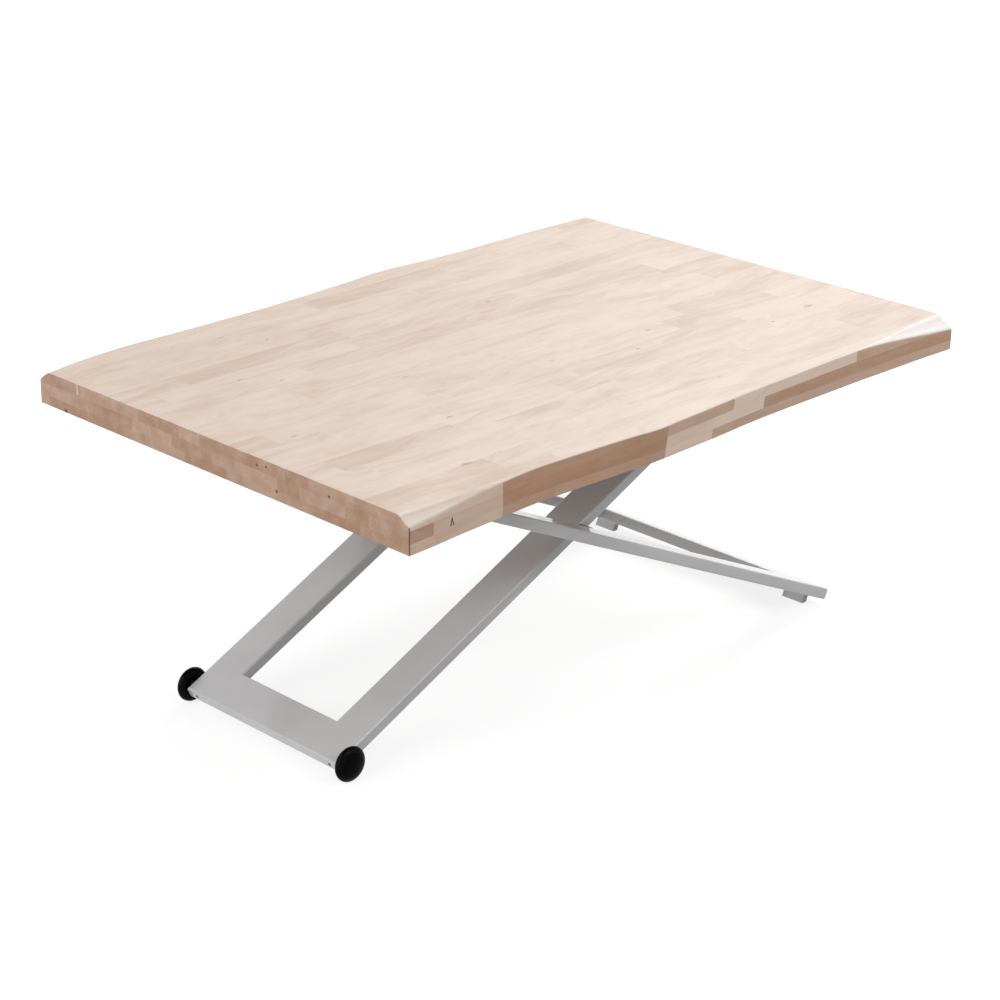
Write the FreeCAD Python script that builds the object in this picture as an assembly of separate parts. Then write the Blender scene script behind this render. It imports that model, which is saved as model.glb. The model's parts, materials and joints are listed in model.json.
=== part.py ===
import FreeCAD, Part

import math
import os

V = FreeCAD.Vector
X_AXIS = V(1, 0, 0)
Y_AXIS = V(0, 1, 0)
Z_AXIS = V(0, 0, 1)
SIDES = {"near": -1, "far": 1}

# Table top: a slab of glued staves with two live long edges
top_length = 1200.0
top_width = 834.0
top_thickness = 53.0
top_height = 510.0
bevel_width = 27.0
bevel_depth = 18.0
edge_lean = 8.0

# Live edges from end to end. Each row: place along the length, near edge and far edge as shares
# of the half sizes, then lean of the near edge, near bevel and far bevel as shares of their sizes.
edge_shares = [
    (-1.000, 1.000, 0.957, 0.00, 0.74, 0.80),
    (-0.925, 0.994, 0.964, 0.00, 0.62, 0.60),
    (-0.850, 0.986, 0.966, 0.00, 0.45, 0.42),
    (-0.750, 0.978, 0.964, 0.00, 0.25, 0.25),
    (-0.570, 0.966, 0.952, 0.00, 0.08, 0.10),
    (-0.380, 0.974, 0.951, 0.20, 0.05, 0.06),
    (-0.265, 0.979, 0.953, 0.50, 0.05, 0.05),
    (-0.190, 0.982, 0.959, 0.90, 0.07, 0.05),
    (-0.115, 0.978, 0.966, 0.75, 0.05, 0.05),
    (0.035, 0.969, 0.982, 0.60, 0.05, 0.05),
    (0.185, 0.956, 0.999, 0.60, 0.05, 0.06),
    (0.400, 0.950, 0.981, 0.40, 0.06, 0.05),
    (0.620, 0.948, 0.980, 0.10, 0.12, 0.08),
    (0.800, 0.950, 0.987, 0.00, 0.48, 0.20),
    (0.915, 0.954, 0.995, 0.00, 0.80, 0.35),
    (1.000, 0.959, 1.000, 0.00, 1.00, 0.45),
]

# Leg frames: flat rectangular tube
beam_width = 65.0
beam_thickness = 19.0
beam_wall = 2.0
beam_corner = 3.0
inner_frame_width = 346.0
pivot_gap = 24.0
leg_angle = 24.9
lift_angle = 17.0
crossing_x = -16.0
half_span = 485.5
inner_overhang = 15.5
outer_overhang = 29.0
brace_width = 36.0
strut_brace_below_hinge = 268.0
outer_brace_clearance = 2.0

# Lugs in the upper ends of the beams
lug_shank = 40.0
lug_neck = 14.0
lug_clearance = 0.1

# Crossing pivots
pivot_diameter = 10.0
pivot_bush_diameter = 13.4
spacer_diameter = 20.0
pivot_end_gap = 6.0

# Wheels and axle
wheel_radius = 27.5
wheel_width = 17.0
wheel_shoulder = 7.0
wheel_side_gap = 2.0
wheel_recess = 6.0
wheel_web_recess = 3.0
axle_diameter = 10.0
axle_bush_diameter = 13.4
axle_bush_length = 36.0
axle_flange_diameter = 17.0
cap_radius = 19.0
cap_rise = 4.0
ring_thickness = 1.2
ring_width = 3.0
ring_groove = 0.6
grub_diameter = 6.0
grub_from_side = 20.0

# Feet under the outer frame
foot_length = 43.5
foot_start = 6.0
foot_end = 17.0
foot_from_side = 25.0
foot_stud_diameter = 8.0
foot_stud_length = 6.0
foot_edge = 1.5

# Rails and rollers
rail_height = 32.0
rail_wall = 2.5
rail_end_wall = 3.0
rail_ear = 24.0
rail_side_gap = 3.0
roller_clearance = 0.2
roller_width = 12.6
roller_end_gap = 0.3
roller_axle_diameter = 10.0
roller_head_diameter = 15.0
roller_head = 2.0
roller_groove_depth = 0.8

# Hinge brackets
plate_thickness = 3.0
bracket_half_length = 36.0
cheek_gap = 0.5
cheek_radius = 12.0
hinge_pin_diameter = 10.0
hinge_head_diameter = 16.0
hinge_head = 3.0
clip_thickness = 1.2
clip_diameter = 15.0

# Lockable gas strut and its seats
strut_arm = 330.0
strut_lug_angle = 11.0
strut_drop = 34.0
strut_barrel_diameter = 22.0
strut_wall = 1.5
strut_eye_width = 24.0
strut_head_width = 18.0
strut_eye_neck = 18.0
strut_plug = 10.0
strut_guide = 11.0
strut_guide_gap = 1.4
strut_rod_diameter = 8.0
strut_piston = 8.0
strut_piston_gap = 2.0
strut_head_neck = 18.0
strut_neck_diameter = 15.0
strut_pin_diameter = 8.0
strut_cheek_gap = 0.5
strut_cheek = 3.0
strut_cheek_overlap = 1.5
strut_stub_depth = 5.0
strut_bracket_half_length = 42.0
strut_bracket_half_cheek = 21.0
valve_diameter = 5.0
valve_reach = 20.0
valve_root = 12.0
valve_travel = 2.6
valve_end_gap = 0.6

# Release lever
lever_width = 14.0
lever_thickness = 4.0
lever_hinge_y = -26.0
lever_from_far_edge = 34.0
lever_offset = -5.0
lever_gap = 0.8
lever_eye_diameter = 10.0
lever_knuckle_diameter = 14.0
lever_pin_diameter = 5.0
lever_angle = 7.0
lever_bracket_half_length = 27.0
lever_bracket_half_width = 9.0
lever_cheek = 2.5
lever_window_gap = 1.5
grip_length = 58.0
grip_width = 24.0
grip_thickness = 13.0
grip_round = 5.0

# Wood screws
screw_diameter = 4.0
screw_length = 22.0
screw_head_diameter = 8.0
screw_head = 2.4
screw_inset = 9.0

# Fits
running_gap = 0.05
fixed_gap = 0.02
overrun = 5.0

# Places that follow from the sizes
leg_sin = math.sin(math.radians(leg_angle))
leg_cos = math.cos(math.radians(leg_angle))
underside = top_height - top_thickness
pivot_drop = rail_height / 2
crossing_z = wheel_radius + half_span * math.tan(math.radians(leg_angle))
low_arm = half_span / leg_cos
upper_pivot_z = underside - pivot_drop
up_arm = (upper_pivot_z - crossing_z) / leg_sin
hinge_x = crossing_x + up_arm * leg_cos
roller_x = crossing_x - up_arm * leg_cos
raised_cos = math.cos(math.radians(leg_angle + lift_angle))
roller_travel = 2 * up_arm * (leg_cos - raised_cos)
inner_half = inner_frame_width / 2
inner_face = inner_half - beam_width
outer_face = inner_half + pivot_gap
outer_half = outer_face + beam_width
strut_tilt = math.asin((strut_drop - pivot_drop) / strut_arm)
strut_top_x = hinge_x - strut_arm * math.cos(strut_tilt)
strut_top_z = underside - strut_drop
strut_swing = math.radians(leg_angle + strut_lug_angle)
strut_low_x = hinge_x - strut_arm * math.cos(strut_swing)
strut_low_z = upper_pivot_z - strut_arm * math.sin(strut_swing)
strut_closed = math.hypot(strut_top_x - strut_low_x, strut_top_z - strut_low_z)
strut_apex = strut_swing - strut_tilt
strut_open = 2 * strut_arm * math.sin((strut_apex + math.radians(lift_angle)) / 2)
strut_stroke = strut_open - strut_closed
strut_heading = math.degrees(math.atan2(strut_top_z - strut_low_z, strut_top_x - strut_low_x))
strut_eye_radius = strut_barrel_diameter / 2
strut_brace_x = up_arm - strut_brace_below_hinge
valve_tip_z = strut_top_z + valve_reach * math.sin(math.radians(strut_heading - lift_angle / 2))
lever_x = strut_top_x + lever_offset
lever_z = valve_tip_z + lever_gap + lever_thickness / 2


def box(low, high):
    """Box between two corners."""
    size = high.sub(low)
    return Part.makeBox(size.x, size.y, size.z, low)


def prism(points, low, high):
    """Upright prism over an outline of (x, y) points."""
    ring = [V(x, y, low) for x, y in points]
    return Part.Face(Part.makePolygon(ring + ring[:1])).extrude(V(0, 0, high - low))


def pin_along(axis, start, length, diameter):
    """Round pin from a start point along an axis."""
    return Part.makeCylinder(diameter / 2, length, start, axis)


def pin_y(x, z, y_low, y_high, diameter):
    """Round pin across the table."""
    return pin_along(Y_AXIS, V(x, y_low, z), y_high - y_low, diameter)


def bar(x_low, x_high, y_mid, width, height, radius):
    """Bar along X, level with z = 0 at mid height, with its four long edges rounded."""
    low = V(x_low, y_mid - width / 2, -height / 2)
    plain = box(low, V(x_high, y_mid + width / 2, height / 2))
    long_edges = [e for e in plain.Edges if e.BoundBox.XLength > height]
    return plain.makeFillet(radius, long_edges)


def tube(x_low, x_high, y_mid, width):
    """Rectangular tube along X with open ends."""
    skin = bar(x_low, x_high, y_mid, width, beam_thickness, beam_corner)
    bore_width = width - 2 * beam_wall
    bore_height = beam_thickness - 2 * beam_wall
    bore = bar(x_low - overrun, x_high + overrun, y_mid, bore_width, bore_height, beam_corner - beam_wall)
    return skin.cut(bore)


def cross_tube(x_low, width, y_half):
    """Rectangular tube across the frame, from -y_half to y_half."""
    flat = tube(-y_half, y_half, -x_low - width / 2, width)
    flat.rotate(V(0, 0, 0), Z_AXIS, 90)
    return flat


def drilled(shape, *tools):
    """Shape with each tool cut out of it."""
    for tool in tools:
        shape = shape.cut(tool)
    return shape


def on_side(shape, side):
    """Piece drawn on the far side, mirrored over for the near side."""
    return shape if side > 0 else shape.mirror(V(0, 0, 0), Y_AXIS)


def placed(shape, x, z, turn):
    """Piece turned about the Y axis and moved so that its own origin lies at x, z."""
    moved = shape.copy()
    seat = FreeCAD.Placement(V(x, 0, z), FreeCAD.Rotation(Y_AXIS, turn))
    moved.Placement = seat.multiply(moved.Placement)
    return moved


def in_inner(shape):
    """Inner frame: drawn from the crossing, +X up the leg."""
    return placed(shape, crossing_x, crossing_z, -leg_angle)


def in_outer(shape):
    """Outer frame: drawn from the crossing, +X down the leg."""
    return placed(shape, crossing_x, crossing_z, leg_angle)


def in_strut(shape):
    """Gas strut: drawn from its lower pin, +X towards the upper pin."""
    return placed(shape, strut_low_x, strut_low_z, -strut_heading)


def save(name, shape):
    """Writes one named piece."""
    shape.exportStep(os.path.join("parts", name + ".step"))


def screw_places():
    """Wood screws under the top: (x, y, plate face) of each."""
    face = underside - plate_thickness
    rail_face = underside - rail_wall
    rail_mid = (rail_web_y() + rail_tip_y()) / 2
    ear_mid = rail_ear / 2
    places = []
    for side in SIDES.values():
        for x in (rail_start() - ear_mid, rail_stop() + ear_mid):
            places.append((x, side * rail_mid, rail_face))
        for dx in (-1, 1):
            for dy in (-1, 1):
                x = hinge_x + dx * (bracket_half_length - screw_inset)
                y = side * (inner_half - beam_width / 2 + dy * (beam_width / 2 - 2 * screw_inset))
                places.append((x, y, face))
    for dx in (-1, 1):
        places.append((strut_top_x + dx * (strut_bracket_half_length - screw_inset), 0, face))
        places.append((lever_x + dx * (lever_bracket_half_length - screw_inset), lever_hinge_y, face))
    return places


def rail_web_y():
    """Outer side of a rail's web, nearest the middle of the table."""
    return rail_tip_y() - rail_depth()


def rail_tip_y():
    """Tips of a rail's flanges, beside the outer beam."""
    return outer_face - rail_side_gap


def rail_depth():
    """Depth of a rail across the table."""
    return rail_wall + roller_head + roller_width + 2 * roller_end_gap


def roller_radius():
    """Roller that runs between a rail's flanges."""
    return rail_height / 2 - rail_wall - roller_clearance


def rail_start():
    """Outside of a rail's lower-position end wall."""
    return roller_x - roller_radius() - roller_end_gap - rail_end_wall


def rail_stop():
    """Outside of a rail's raised-position end wall."""
    return roller_x + roller_travel + roller_radius() + roller_end_gap + rail_end_wall


def edge_section(row):
    """Closed outline across the slab at one place along its length, taller than the slab."""
    along, near, far, lean, near_bevel, far_bevel = row
    x = along * top_length / 2
    near_y = -near * top_width / 2
    far_y = far * top_width / 2
    crest_y = near_y - lean * edge_lean
    near_w = near_bevel * bevel_width
    near_d = near_bevel * bevel_depth
    far_w = far_bevel * bevel_width
    far_d = far_bevel * bevel_depth
    points = [
        V(x, near_y, underside - overrun),
        V(x, crest_y, top_height - near_d),
        V(x, crest_y + 2 * near_w, top_height + near_d),
        V(x, far_y - 2 * far_w, top_height + far_d),
        V(x, far_y, top_height - far_d),
        V(x, far_y, underside - overrun),
    ]
    return Part.makePolygon(points + points[:1])


def table_top():
    """Slab lofted along its length, then planed flat above and below and drilled for screws."""
    slab = Part.makeLoft([edge_section(row) for row in edge_shares], True, False)
    half_x = top_length / 2
    reach = top_width / 2 + edge_lean
    slab = slab.common(box(V(-half_x, -reach, underside), V(half_x, reach, top_height)))
    depth = screw_length - plate_thickness + overrun
    bores = [
        pin_along(Z_AXIS, V(x, y, underside - overrun), depth + overrun, screw_diameter + 2 * fixed_gap)
        for x, y, _ in screw_places()
    ]
    return drilled(slab, *bores)


def screw_bore(x, y, low, high):
    """Clearance hole for one wood screw through a plate."""
    return pin_along(Z_AXIS, V(x, y, low), high - low, screw_diameter + 2 * fixed_gap)


def plate_bores():
    """Screw holes through every plate under the top."""
    high = underside + overrun
    return [screw_bore(x, y, face - overrun, high) for x, y, face in screw_places()]


def top_screws():
    """Pan head wood screws as one group."""
    solids = []
    for x, y, face in screw_places():
        shank = pin_along(Z_AXIS, V(x, y, face), screw_length, screw_diameter)
        head = pin_along(Z_AXIS, V(x, y, face - screw_head), screw_head, screw_head_diameter)
        head = head.makeChamfer(screw_head / 2, [min(head.Edges, key=lambda e: e.CenterOfMass.z)])
        solids.append(shank.fuse(head).removeSplitter())
    return Part.makeCompound(solids)


def rail():
    """Channel rail with closed ends and an ear at each end, open towards the outer beam."""
    low = underside - rail_height
    x_low, x_high = rail_start(), rail_stop()
    web, tip = rail_web_y(), rail_tip_y()
    body = box(V(x_low, web, low), V(x_high, tip, underside))
    hollow_low = V(x_low + rail_end_wall, web + rail_wall, low + rail_wall)
    hollow_high = V(x_high - rail_end_wall, tip + overrun, underside - rail_wall)
    ears = box(V(x_low - rail_ear, web, underside - rail_wall), V(x_high + rail_ear, tip, underside))
    corners = [e for e in ears.Edges if e.BoundBox.ZLength > 0 and e.BoundBox.YLength < rail_wall]
    ears = ears.makeFillet(rail_wall, [e for e in corners if e.BoundBox.XLength < rail_wall])
    channel = body.cut(box(hollow_low, hollow_high)).fuse(ears).removeSplitter()
    return drilled(channel, *plate_bores())


def cheek(x, z, half_top, radius, y_low, y_high):
    """Upright bracket cheek: wide at the underside, rounded about its pin."""
    top = underside - plate_thickness
    height = top - z
    turn = math.atan2(height, half_top) - math.acos(radius / math.hypot(half_top, height))
    flank_x = radius * math.cos(turn)
    flank_z = z + radius * math.sin(turn)
    outline = [
        V(x - half_top, y_low, top),
        V(x - flank_x, y_low, flank_z),
        V(x + flank_x, y_low, flank_z),
        V(x + half_top, y_low, top),
    ]
    plate = Part.Face(Part.makePolygon(outline + outline[:1])).extrude(V(0, y_high - y_low, 0))
    return plate.fuse(pin_y(x, z, y_low, y_high, 2 * radius)).removeSplitter()


def hinge_bracket():
    """U bracket that holds the upper end of an inner beam."""
    inside_low = inner_face - cheek_gap
    inside_high = inner_half + cheek_gap
    y_low, y_high = inside_low - plate_thickness, inside_high + plate_thickness
    base_low = V(hinge_x - bracket_half_length, y_low, underside - plate_thickness)
    base = box(base_low, V(hinge_x + bracket_half_length, y_high, underside))
    for start in (y_low, inside_high):
        wall = cheek(hinge_x, upper_pivot_z, bracket_half_length, cheek_radius, start, start + plate_thickness)
        base = base.fuse(wall)
    bore = pin_y(hinge_x, upper_pivot_z, 0, y_high + overrun, hinge_pin_diameter + 2 * fixed_gap)
    return drilled(base.removeSplitter(), bore, *plate_bores())


def hinge_pin():
    """Headed pin through a hinge bracket and the lug between its cheeks."""
    y_low = inner_face - cheek_gap - plate_thickness
    y_high = inner_half + cheek_gap + plate_thickness + 2 * clip_thickness
    shank = pin_y(hinge_x, upper_pivot_z, y_low, y_high, hinge_pin_diameter)
    head = pin_y(hinge_x, upper_pivot_z, y_low - hinge_head, y_low, hinge_head_diameter)
    return shank.fuse(head).removeSplitter()


def hinge_clips():
    """Spring clips on the ends of the hinge pins, as one group."""
    start = inner_half + cheek_gap + plate_thickness
    solids = []
    for side in SIDES.values():
        disc = pin_y(hinge_x, upper_pivot_z, start, start + clip_thickness, clip_diameter)
        bore = pin_y(hinge_x, upper_pivot_z, 0, start + overrun, hinge_pin_diameter + 2 * fixed_gap)
        slot_half = hinge_pin_diameter / 4
        slot_low = V(hinge_x - slot_half, 0, upper_pivot_z - clip_diameter)
        slot = box(slot_low, V(hinge_x + slot_half, start + overrun, upper_pivot_z))
        solids.append(on_side(drilled(disc, bore, slot), side))
    return Part.makeCompound(solids)


def beam_lug(reach, bore_diameter):
    """Solid lug in a beam's upper end: shank in the tube, rounded nose about the pin."""
    y_mid = inner_half - beam_width / 2
    shank_width = beam_width - 2 * beam_wall - 2 * lug_clearance
    shank_height = beam_thickness - 2 * beam_wall - 2 * lug_clearance
    start = reach - lug_neck
    shank = bar(start - lug_shank, start, y_mid, shank_width, shank_height, beam_corner - beam_wall)
    nose_low = V(start, y_mid - beam_width / 2, -beam_thickness / 2)
    nose = box(nose_low, V(reach, y_mid + beam_width / 2, beam_thickness / 2))
    tip = pin_y(reach, 0, y_mid - beam_width / 2, y_mid + beam_width / 2, beam_thickness)
    lug = shank.fuse(nose).fuse(tip).removeSplitter()
    return lug.cut(pin_y(reach, 0, 0, inner_half + overrun, bore_diameter))


def inner_beam():
    """Beam of the inner frame, mitred at its lower end, drilled for the pivot and the axle bush."""
    start = -low_arm - inner_overhang
    stop = up_arm - lug_neck
    y_mid = inner_half - beam_width / 2
    outline = [
        (start, inner_half),
        (stop, inner_half),
        (stop, inner_face),
        (start + beam_width, inner_face),
    ]
    keep = prism(outline, -beam_thickness, beam_thickness)
    blank = tube(start, stop, y_mid, beam_width).common(keep)
    pivot = pin_y(0, 0, 0, inner_half + overrun, pivot_diameter + 2 * fixed_gap)
    bush = pin_y(-low_arm, 0, inner_face, inner_half + overrun, axle_bush_diameter + 2 * fixed_gap)
    return drilled(blank, pivot, bush)


def inner_crossbar():
    """Lower crossbar of the inner frame, mitred at both ends, with a hole for each grub screw."""
    start = -low_arm - inner_overhang
    outline = [
        (start, -inner_half),
        (start, inner_half),
        (start + beam_width, inner_face),
        (start + beam_width, -inner_face),
    ]
    keep = prism(outline, -beam_thickness, beam_thickness)
    blank = cross_tube(start, beam_width, inner_half).common(keep)
    bush_bore = axle_bush_diameter + 2 * fixed_gap
    tools = []
    for side in SIDES.values():
        y = side * (inner_half - grub_from_side)
        tools.append(pin_along(X_AXIS, V(start - overrun, y, 0), overrun + inner_overhang, grub_bore()))
        y_low = min(side * inner_half, side * (inner_half - axle_bush_length))
        tools.append(pin_y(-low_arm, 0, y_low, y_low + axle_bush_length, bush_bore))
    return drilled(blank, *tools)


def grub_bore():
    """Hole for a grub screw."""
    return grub_diameter + 2 * fixed_gap


def grub_screws():
    """Grub screws that hold the axle bushes, with a hexagon socket, as one group."""
    start = -low_arm - inner_overhang
    length = inner_overhang - axle_bush_diameter / 2 - fixed_gap
    socket_radius = grub_diameter / 4
    solids = []
    for side in SIDES.values():
        y = side * (inner_half - grub_from_side)
        body = pin_along(X_AXIS, V(start, y, 0), length, grub_diameter)
        ring = []
        for k in range(6):
            turn = math.radians(60 * k)
            ring.append(V(start, y + socket_radius * math.cos(turn), socket_radius * math.sin(turn)))
        socket = Part.Face(Part.makePolygon(ring + ring[:1])).extrude(V(length / 2, 0, 0))
        solids.append(body.cut(socket))
    return Part.makeCompound(solids)


def axle_bush():
    """Flanged bush in a corner of the inner frame, round the axle."""
    start = inner_half - axle_bush_length
    flange = wheel_side_gap - 2 * running_gap
    body = pin_y(-low_arm, 0, start, inner_half + flange, axle_bush_diameter)
    lip = pin_y(-low_arm, 0, inner_half, inner_half + flange, axle_flange_diameter)
    bore = pin_y(-low_arm, 0, 0, inner_half + overrun, axle_diameter + 2 * running_gap)
    return body.fuse(lip).removeSplitter().cut(bore)


def strut_brace():
    """Crossbar between the inner beams that carries the gas strut."""
    return cross_tube(strut_brace_x - brace_width / 2, brace_width, inner_face)


def strut_seat():
    """Lug welded under the strut brace: two cheeks down to the strut's lower pin."""
    low_x = up_arm - strut_arm * math.cos(math.radians(strut_lug_angle))
    low_z = -strut_arm * math.sin(math.radians(strut_lug_angle))
    face = -beam_thickness / 2
    half = brace_width / 2 - beam_corner
    left, right = strut_brace_x - half, strut_brace_x + half
    inside = strut_eye_width / 2 + strut_cheek_gap
    outside = inside + strut_cheek
    radius = strut_eye_radius
    seat = box(V(left, -outside, face - strut_cheek), V(right, outside, face))
    for y in (-outside, inside):
        outline = [
            V(left, y, face),
            V(low_x - radius, y, low_z),
            V(low_x + radius, y, low_z),
            V(right, y, face),
        ]
        plate = Part.Face(Part.makePolygon(outline + outline[:1])).extrude(V(0, strut_cheek, 0))
        seat = seat.fuse(plate).fuse(pin_y(low_x, low_z, y, y + strut_cheek, 2 * radius))
    bore = pin_y(low_x, low_z, -outside - overrun, outside + overrun, strut_pin_diameter + 2 * fixed_gap)
    return seat.removeSplitter().cut(bore)


def strut_lower_pin():
    """Pin through the strut's lower eye and its seat."""
    reach = strut_eye_width / 2 + strut_cheek_gap + strut_cheek + strut_cheek_overlap
    return pin_y(strut_low_x, strut_low_z, -reach, reach, strut_pin_diameter)


def axle():
    """Axle through the inner frame's lower crossbar, grooved for a ring near each end."""
    ring_y = ring_place()
    end = ring_y + 2 * ring_thickness
    rod = pin_y(-low_arm, 0, -end, end, axle_diameter)
    rod = rod.makeChamfer(ring_groove, [e for e in rod.Edges if e.isClosed()])
    grooves = []
    for side in SIDES.values():
        blank = pin_y(-low_arm, 0, ring_y, ring_y + ring_thickness, axle_diameter + overrun)
        core = pin_y(-low_arm, 0, 0, end, axle_diameter - 2 * ring_groove)
        grooves.append(on_side(blank.cut(core), side))
    return drilled(rod, *grooves)


def ring_place():
    """Inner face of a retaining ring, just outside a wheel's hub."""
    return inner_half + wheel_side_gap + wheel_width - wheel_recess + 2 * running_gap


def retaining_rings():
    """Rings in the axle's grooves, as one group."""
    ring_y = ring_place()
    solids = []
    for side in SIDES.values():
        disc_high = ring_y + ring_thickness
        disc = pin_y(-low_arm, 0, ring_y, disc_high, axle_diameter + 2 * ring_width)
        bore = pin_y(-low_arm, 0, 0, disc_high + overrun, axle_diameter - 2 * ring_groove + 2 * fixed_gap)
        solids.append(on_side(disc.cut(bore), side))
    return Part.makeCompound(solids)


def turned(points, shape_x, shape_z):
    """Solid of revolution about a line along Y, from (radius, y) points."""
    ring = [V(shape_x + r, y, shape_z) for r, y in points]
    face = Part.Face(Part.makePolygon(ring + ring[:1]))
    return face.revolve(V(shape_x, 0, shape_z), Y_AXIS, 360)


def wheel():
    """Wheel with rounded shoulders, a hub bore and a recess for the ring and cap."""
    low = inner_half + wheel_side_gap
    high = low + wheel_width
    bore = axle_diameter / 2 + running_gap
    hub = axle_flange_diameter / 2
    rim = cap_radius
    profile = [
        (bore, low),
        (hub, low),
        (hub + wheel_web_recess, low + wheel_web_recess),
        (rim - wheel_web_recess, low + wheel_web_recess),
        (rim, low),
        (wheel_radius, low),
        (wheel_radius, high),
        (cap_radius, high),
        (cap_radius, high - wheel_recess),
        (bore, high - wheel_recess),
    ]
    body = turned(profile, -low_arm, 0)
    shoulders = [e for e in body.Edges if e.isClosed() and abs(e.Curve.Radius - wheel_radius) < running_gap]
    return body.makeFillet(wheel_shoulder, shoulders)


def wheel_cap():
    """Domed cap that closes a wheel's recess."""
    low = inner_half + wheel_side_gap
    face = low + wheel_width
    seat = ring_place() + 3 * ring_thickness
    radius = cap_radius - fixed_gap
    dome_radius = (radius**2 + cap_rise**2) / (2 * cap_rise)
    disc = pin_y(-low_arm, 0, seat, face, 2 * radius)
    ball = Part.makeSphere(dome_radius, V(-low_arm, face + cap_rise - dome_radius, 0))
    reach = V(radius, 0, radius)
    middle = V(-low_arm, 0, 0)
    cut = box(middle.sub(reach).add(V(0, face, 0)), middle.add(reach).add(V(0, face + cap_rise, 0)))
    cap = disc.fuse(ball.common(cut)).removeSplitter()
    hollow = pin_y(-low_arm, 0, seat - overrun, seat + ring_thickness, axle_diameter + 4 * ring_width)
    legs = pin_y(-low_arm, 0, face - wheel_recess, seat, 2 * radius)
    legs = legs.cut(pin_y(-low_arm, 0, low, face, axle_diameter + 4 * ring_width))
    return cap.cut(hollow).fuse(legs).removeSplitter()


def pivot_pin():
    """Pin welded into an inner beam at the crossing, reaching into the outer beam."""
    return pin_y(0, 0, inner_face, outer_half - beam_wall - pivot_end_gap, pivot_diameter)


def pivot_bush():
    """Bush in an outer beam at the crossing, closed off by the beam's outer wall."""
    high = outer_half - beam_wall
    body = pin_y(0, 0, outer_face, high, pivot_bush_diameter)
    return body.cut(pin_y(0, 0, 0, high - fixed_gap, pivot_diameter + 2 * running_gap))


def pivot_spacer():
    """Round spacer that keeps the inner and outer beams apart at the crossing."""
    ring = pin_y(0, 0, inner_half, outer_face, spacer_diameter)
    lip = [e for e in ring.Edges if e.isClosed()]
    ring = ring.makeChamfer(beam_corner / 2, lip)
    return ring.cut(pin_y(0, 0, 0, outer_half, pivot_diameter + 4 * running_gap))


def outer_beam():
    """Beam of the outer frame, mitred at its lower end, drilled for the pivot bush."""
    stop = low_arm + outer_overhang
    start = -up_arm + lug_neck
    y_mid = outer_half - beam_width / 2
    outline = [
        (start, outer_face),
        (start, outer_half),
        (stop, outer_half),
        (stop - beam_width, outer_face),
    ]
    blank = tube(start, stop, y_mid, beam_width).common(prism(outline, -beam_thickness, beam_thickness))
    bush = pin_y(0, 0, 0, outer_half - beam_wall, pivot_bush_diameter + 2 * fixed_gap)
    return drilled(blank, bush)


def outer_crossbar():
    """Lower crossbar of the outer frame, mitred at both ends, with a hole for each foot's stud."""
    stop = low_arm + outer_overhang
    outline = [
        (stop, -outer_half),
        (stop, outer_half),
        (stop - beam_width, outer_face),
        (stop - beam_width, -outer_face),
    ]
    keep = prism(outline, -beam_thickness, beam_thickness)
    blank = cross_tube(stop - beam_width, beam_width, outer_half).common(keep)
    studs = []
    for side in SIDES.values():
        start = V(foot_stud_x(), side * foot_mid(), -beam_thickness)
        studs.append(pin_along(Z_AXIS, start, beam_thickness, foot_stud_diameter + 2 * fixed_gap))
    return drilled(blank, *studs)


def foot_mid():
    """Middle of a foot across the table."""
    return outer_half - foot_from_side - foot_length / 2


def foot_stud_x():
    """Middle of a foot along the outer frame."""
    return low_arm + (foot_start + foot_end) / 2


def foot():
    """Foot block with a crowned sole, so that it rocks on the floor as the leg turns."""
    y_low = foot_mid() - foot_length / 2
    face = -beam_thickness / 2
    left, right = low_arm + foot_start, low_arm + foot_end
    block = box(V(left, y_low, -wheel_radius), V(right, y_low + foot_length, face))
    block = block.common(pin_y(low_arm, 0, y_low, y_low + foot_length, 2 * wheel_radius))
    upright = [e for e in block.Edges if e.BoundBox.ZLength > foot_edge and e.BoundBox.XLength < foot_edge]
    block = block.makeFillet(foot_edge, upright)
    stud_start = V(foot_stud_x(), foot_mid(), face)
    stud = pin_along(Z_AXIS, stud_start, foot_stud_length, foot_stud_diameter)
    return block.fuse(stud).removeSplitter()


def outer_brace():
    """Crossbar between the outer beams, below the rails."""
    brace_rise = brace_width / 2 * leg_sin + beam_thickness / 2 * leg_cos
    below_roller = (rail_height / 2 + outer_brace_clearance + brace_rise) / leg_sin
    middle = below_roller - up_arm
    return cross_tube(middle - brace_width / 2, brace_width, outer_face)


def roller_axle():
    """Stub axle through an outer beam's lug, with a head that keeps the roller on."""
    y_low = rail_web_y() + rail_wall + roller_end_gap
    shank = pin_y(-up_arm, 0, y_low, outer_half - beam_wall, roller_axle_diameter)
    head = pin_y(-up_arm, 0, y_low, y_low + roller_head, roller_head_diameter)
    return shank.fuse(head).removeSplitter()


def roller():
    """Grooved roller that runs in a rail."""
    y_low = rail_web_y() + rail_wall + roller_head + 1.5 * roller_end_gap
    y_high = y_low + roller_width - roller_end_gap
    quarter = (y_high - y_low) / 4
    rim = roller_radius()
    waist = rim - roller_groove_depth
    bore = roller_axle_diameter / 2 + running_gap
    profile = [
        (bore, y_low),
        (rim, y_low),
        (rim, y_low + quarter),
        (waist, y_low + quarter + roller_groove_depth),
        (waist, y_high - quarter - roller_groove_depth),
        (rim, y_high - quarter),
        (rim, y_high),
        (bore, y_high),
    ]
    return turned(profile, -up_arm, 0)


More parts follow.
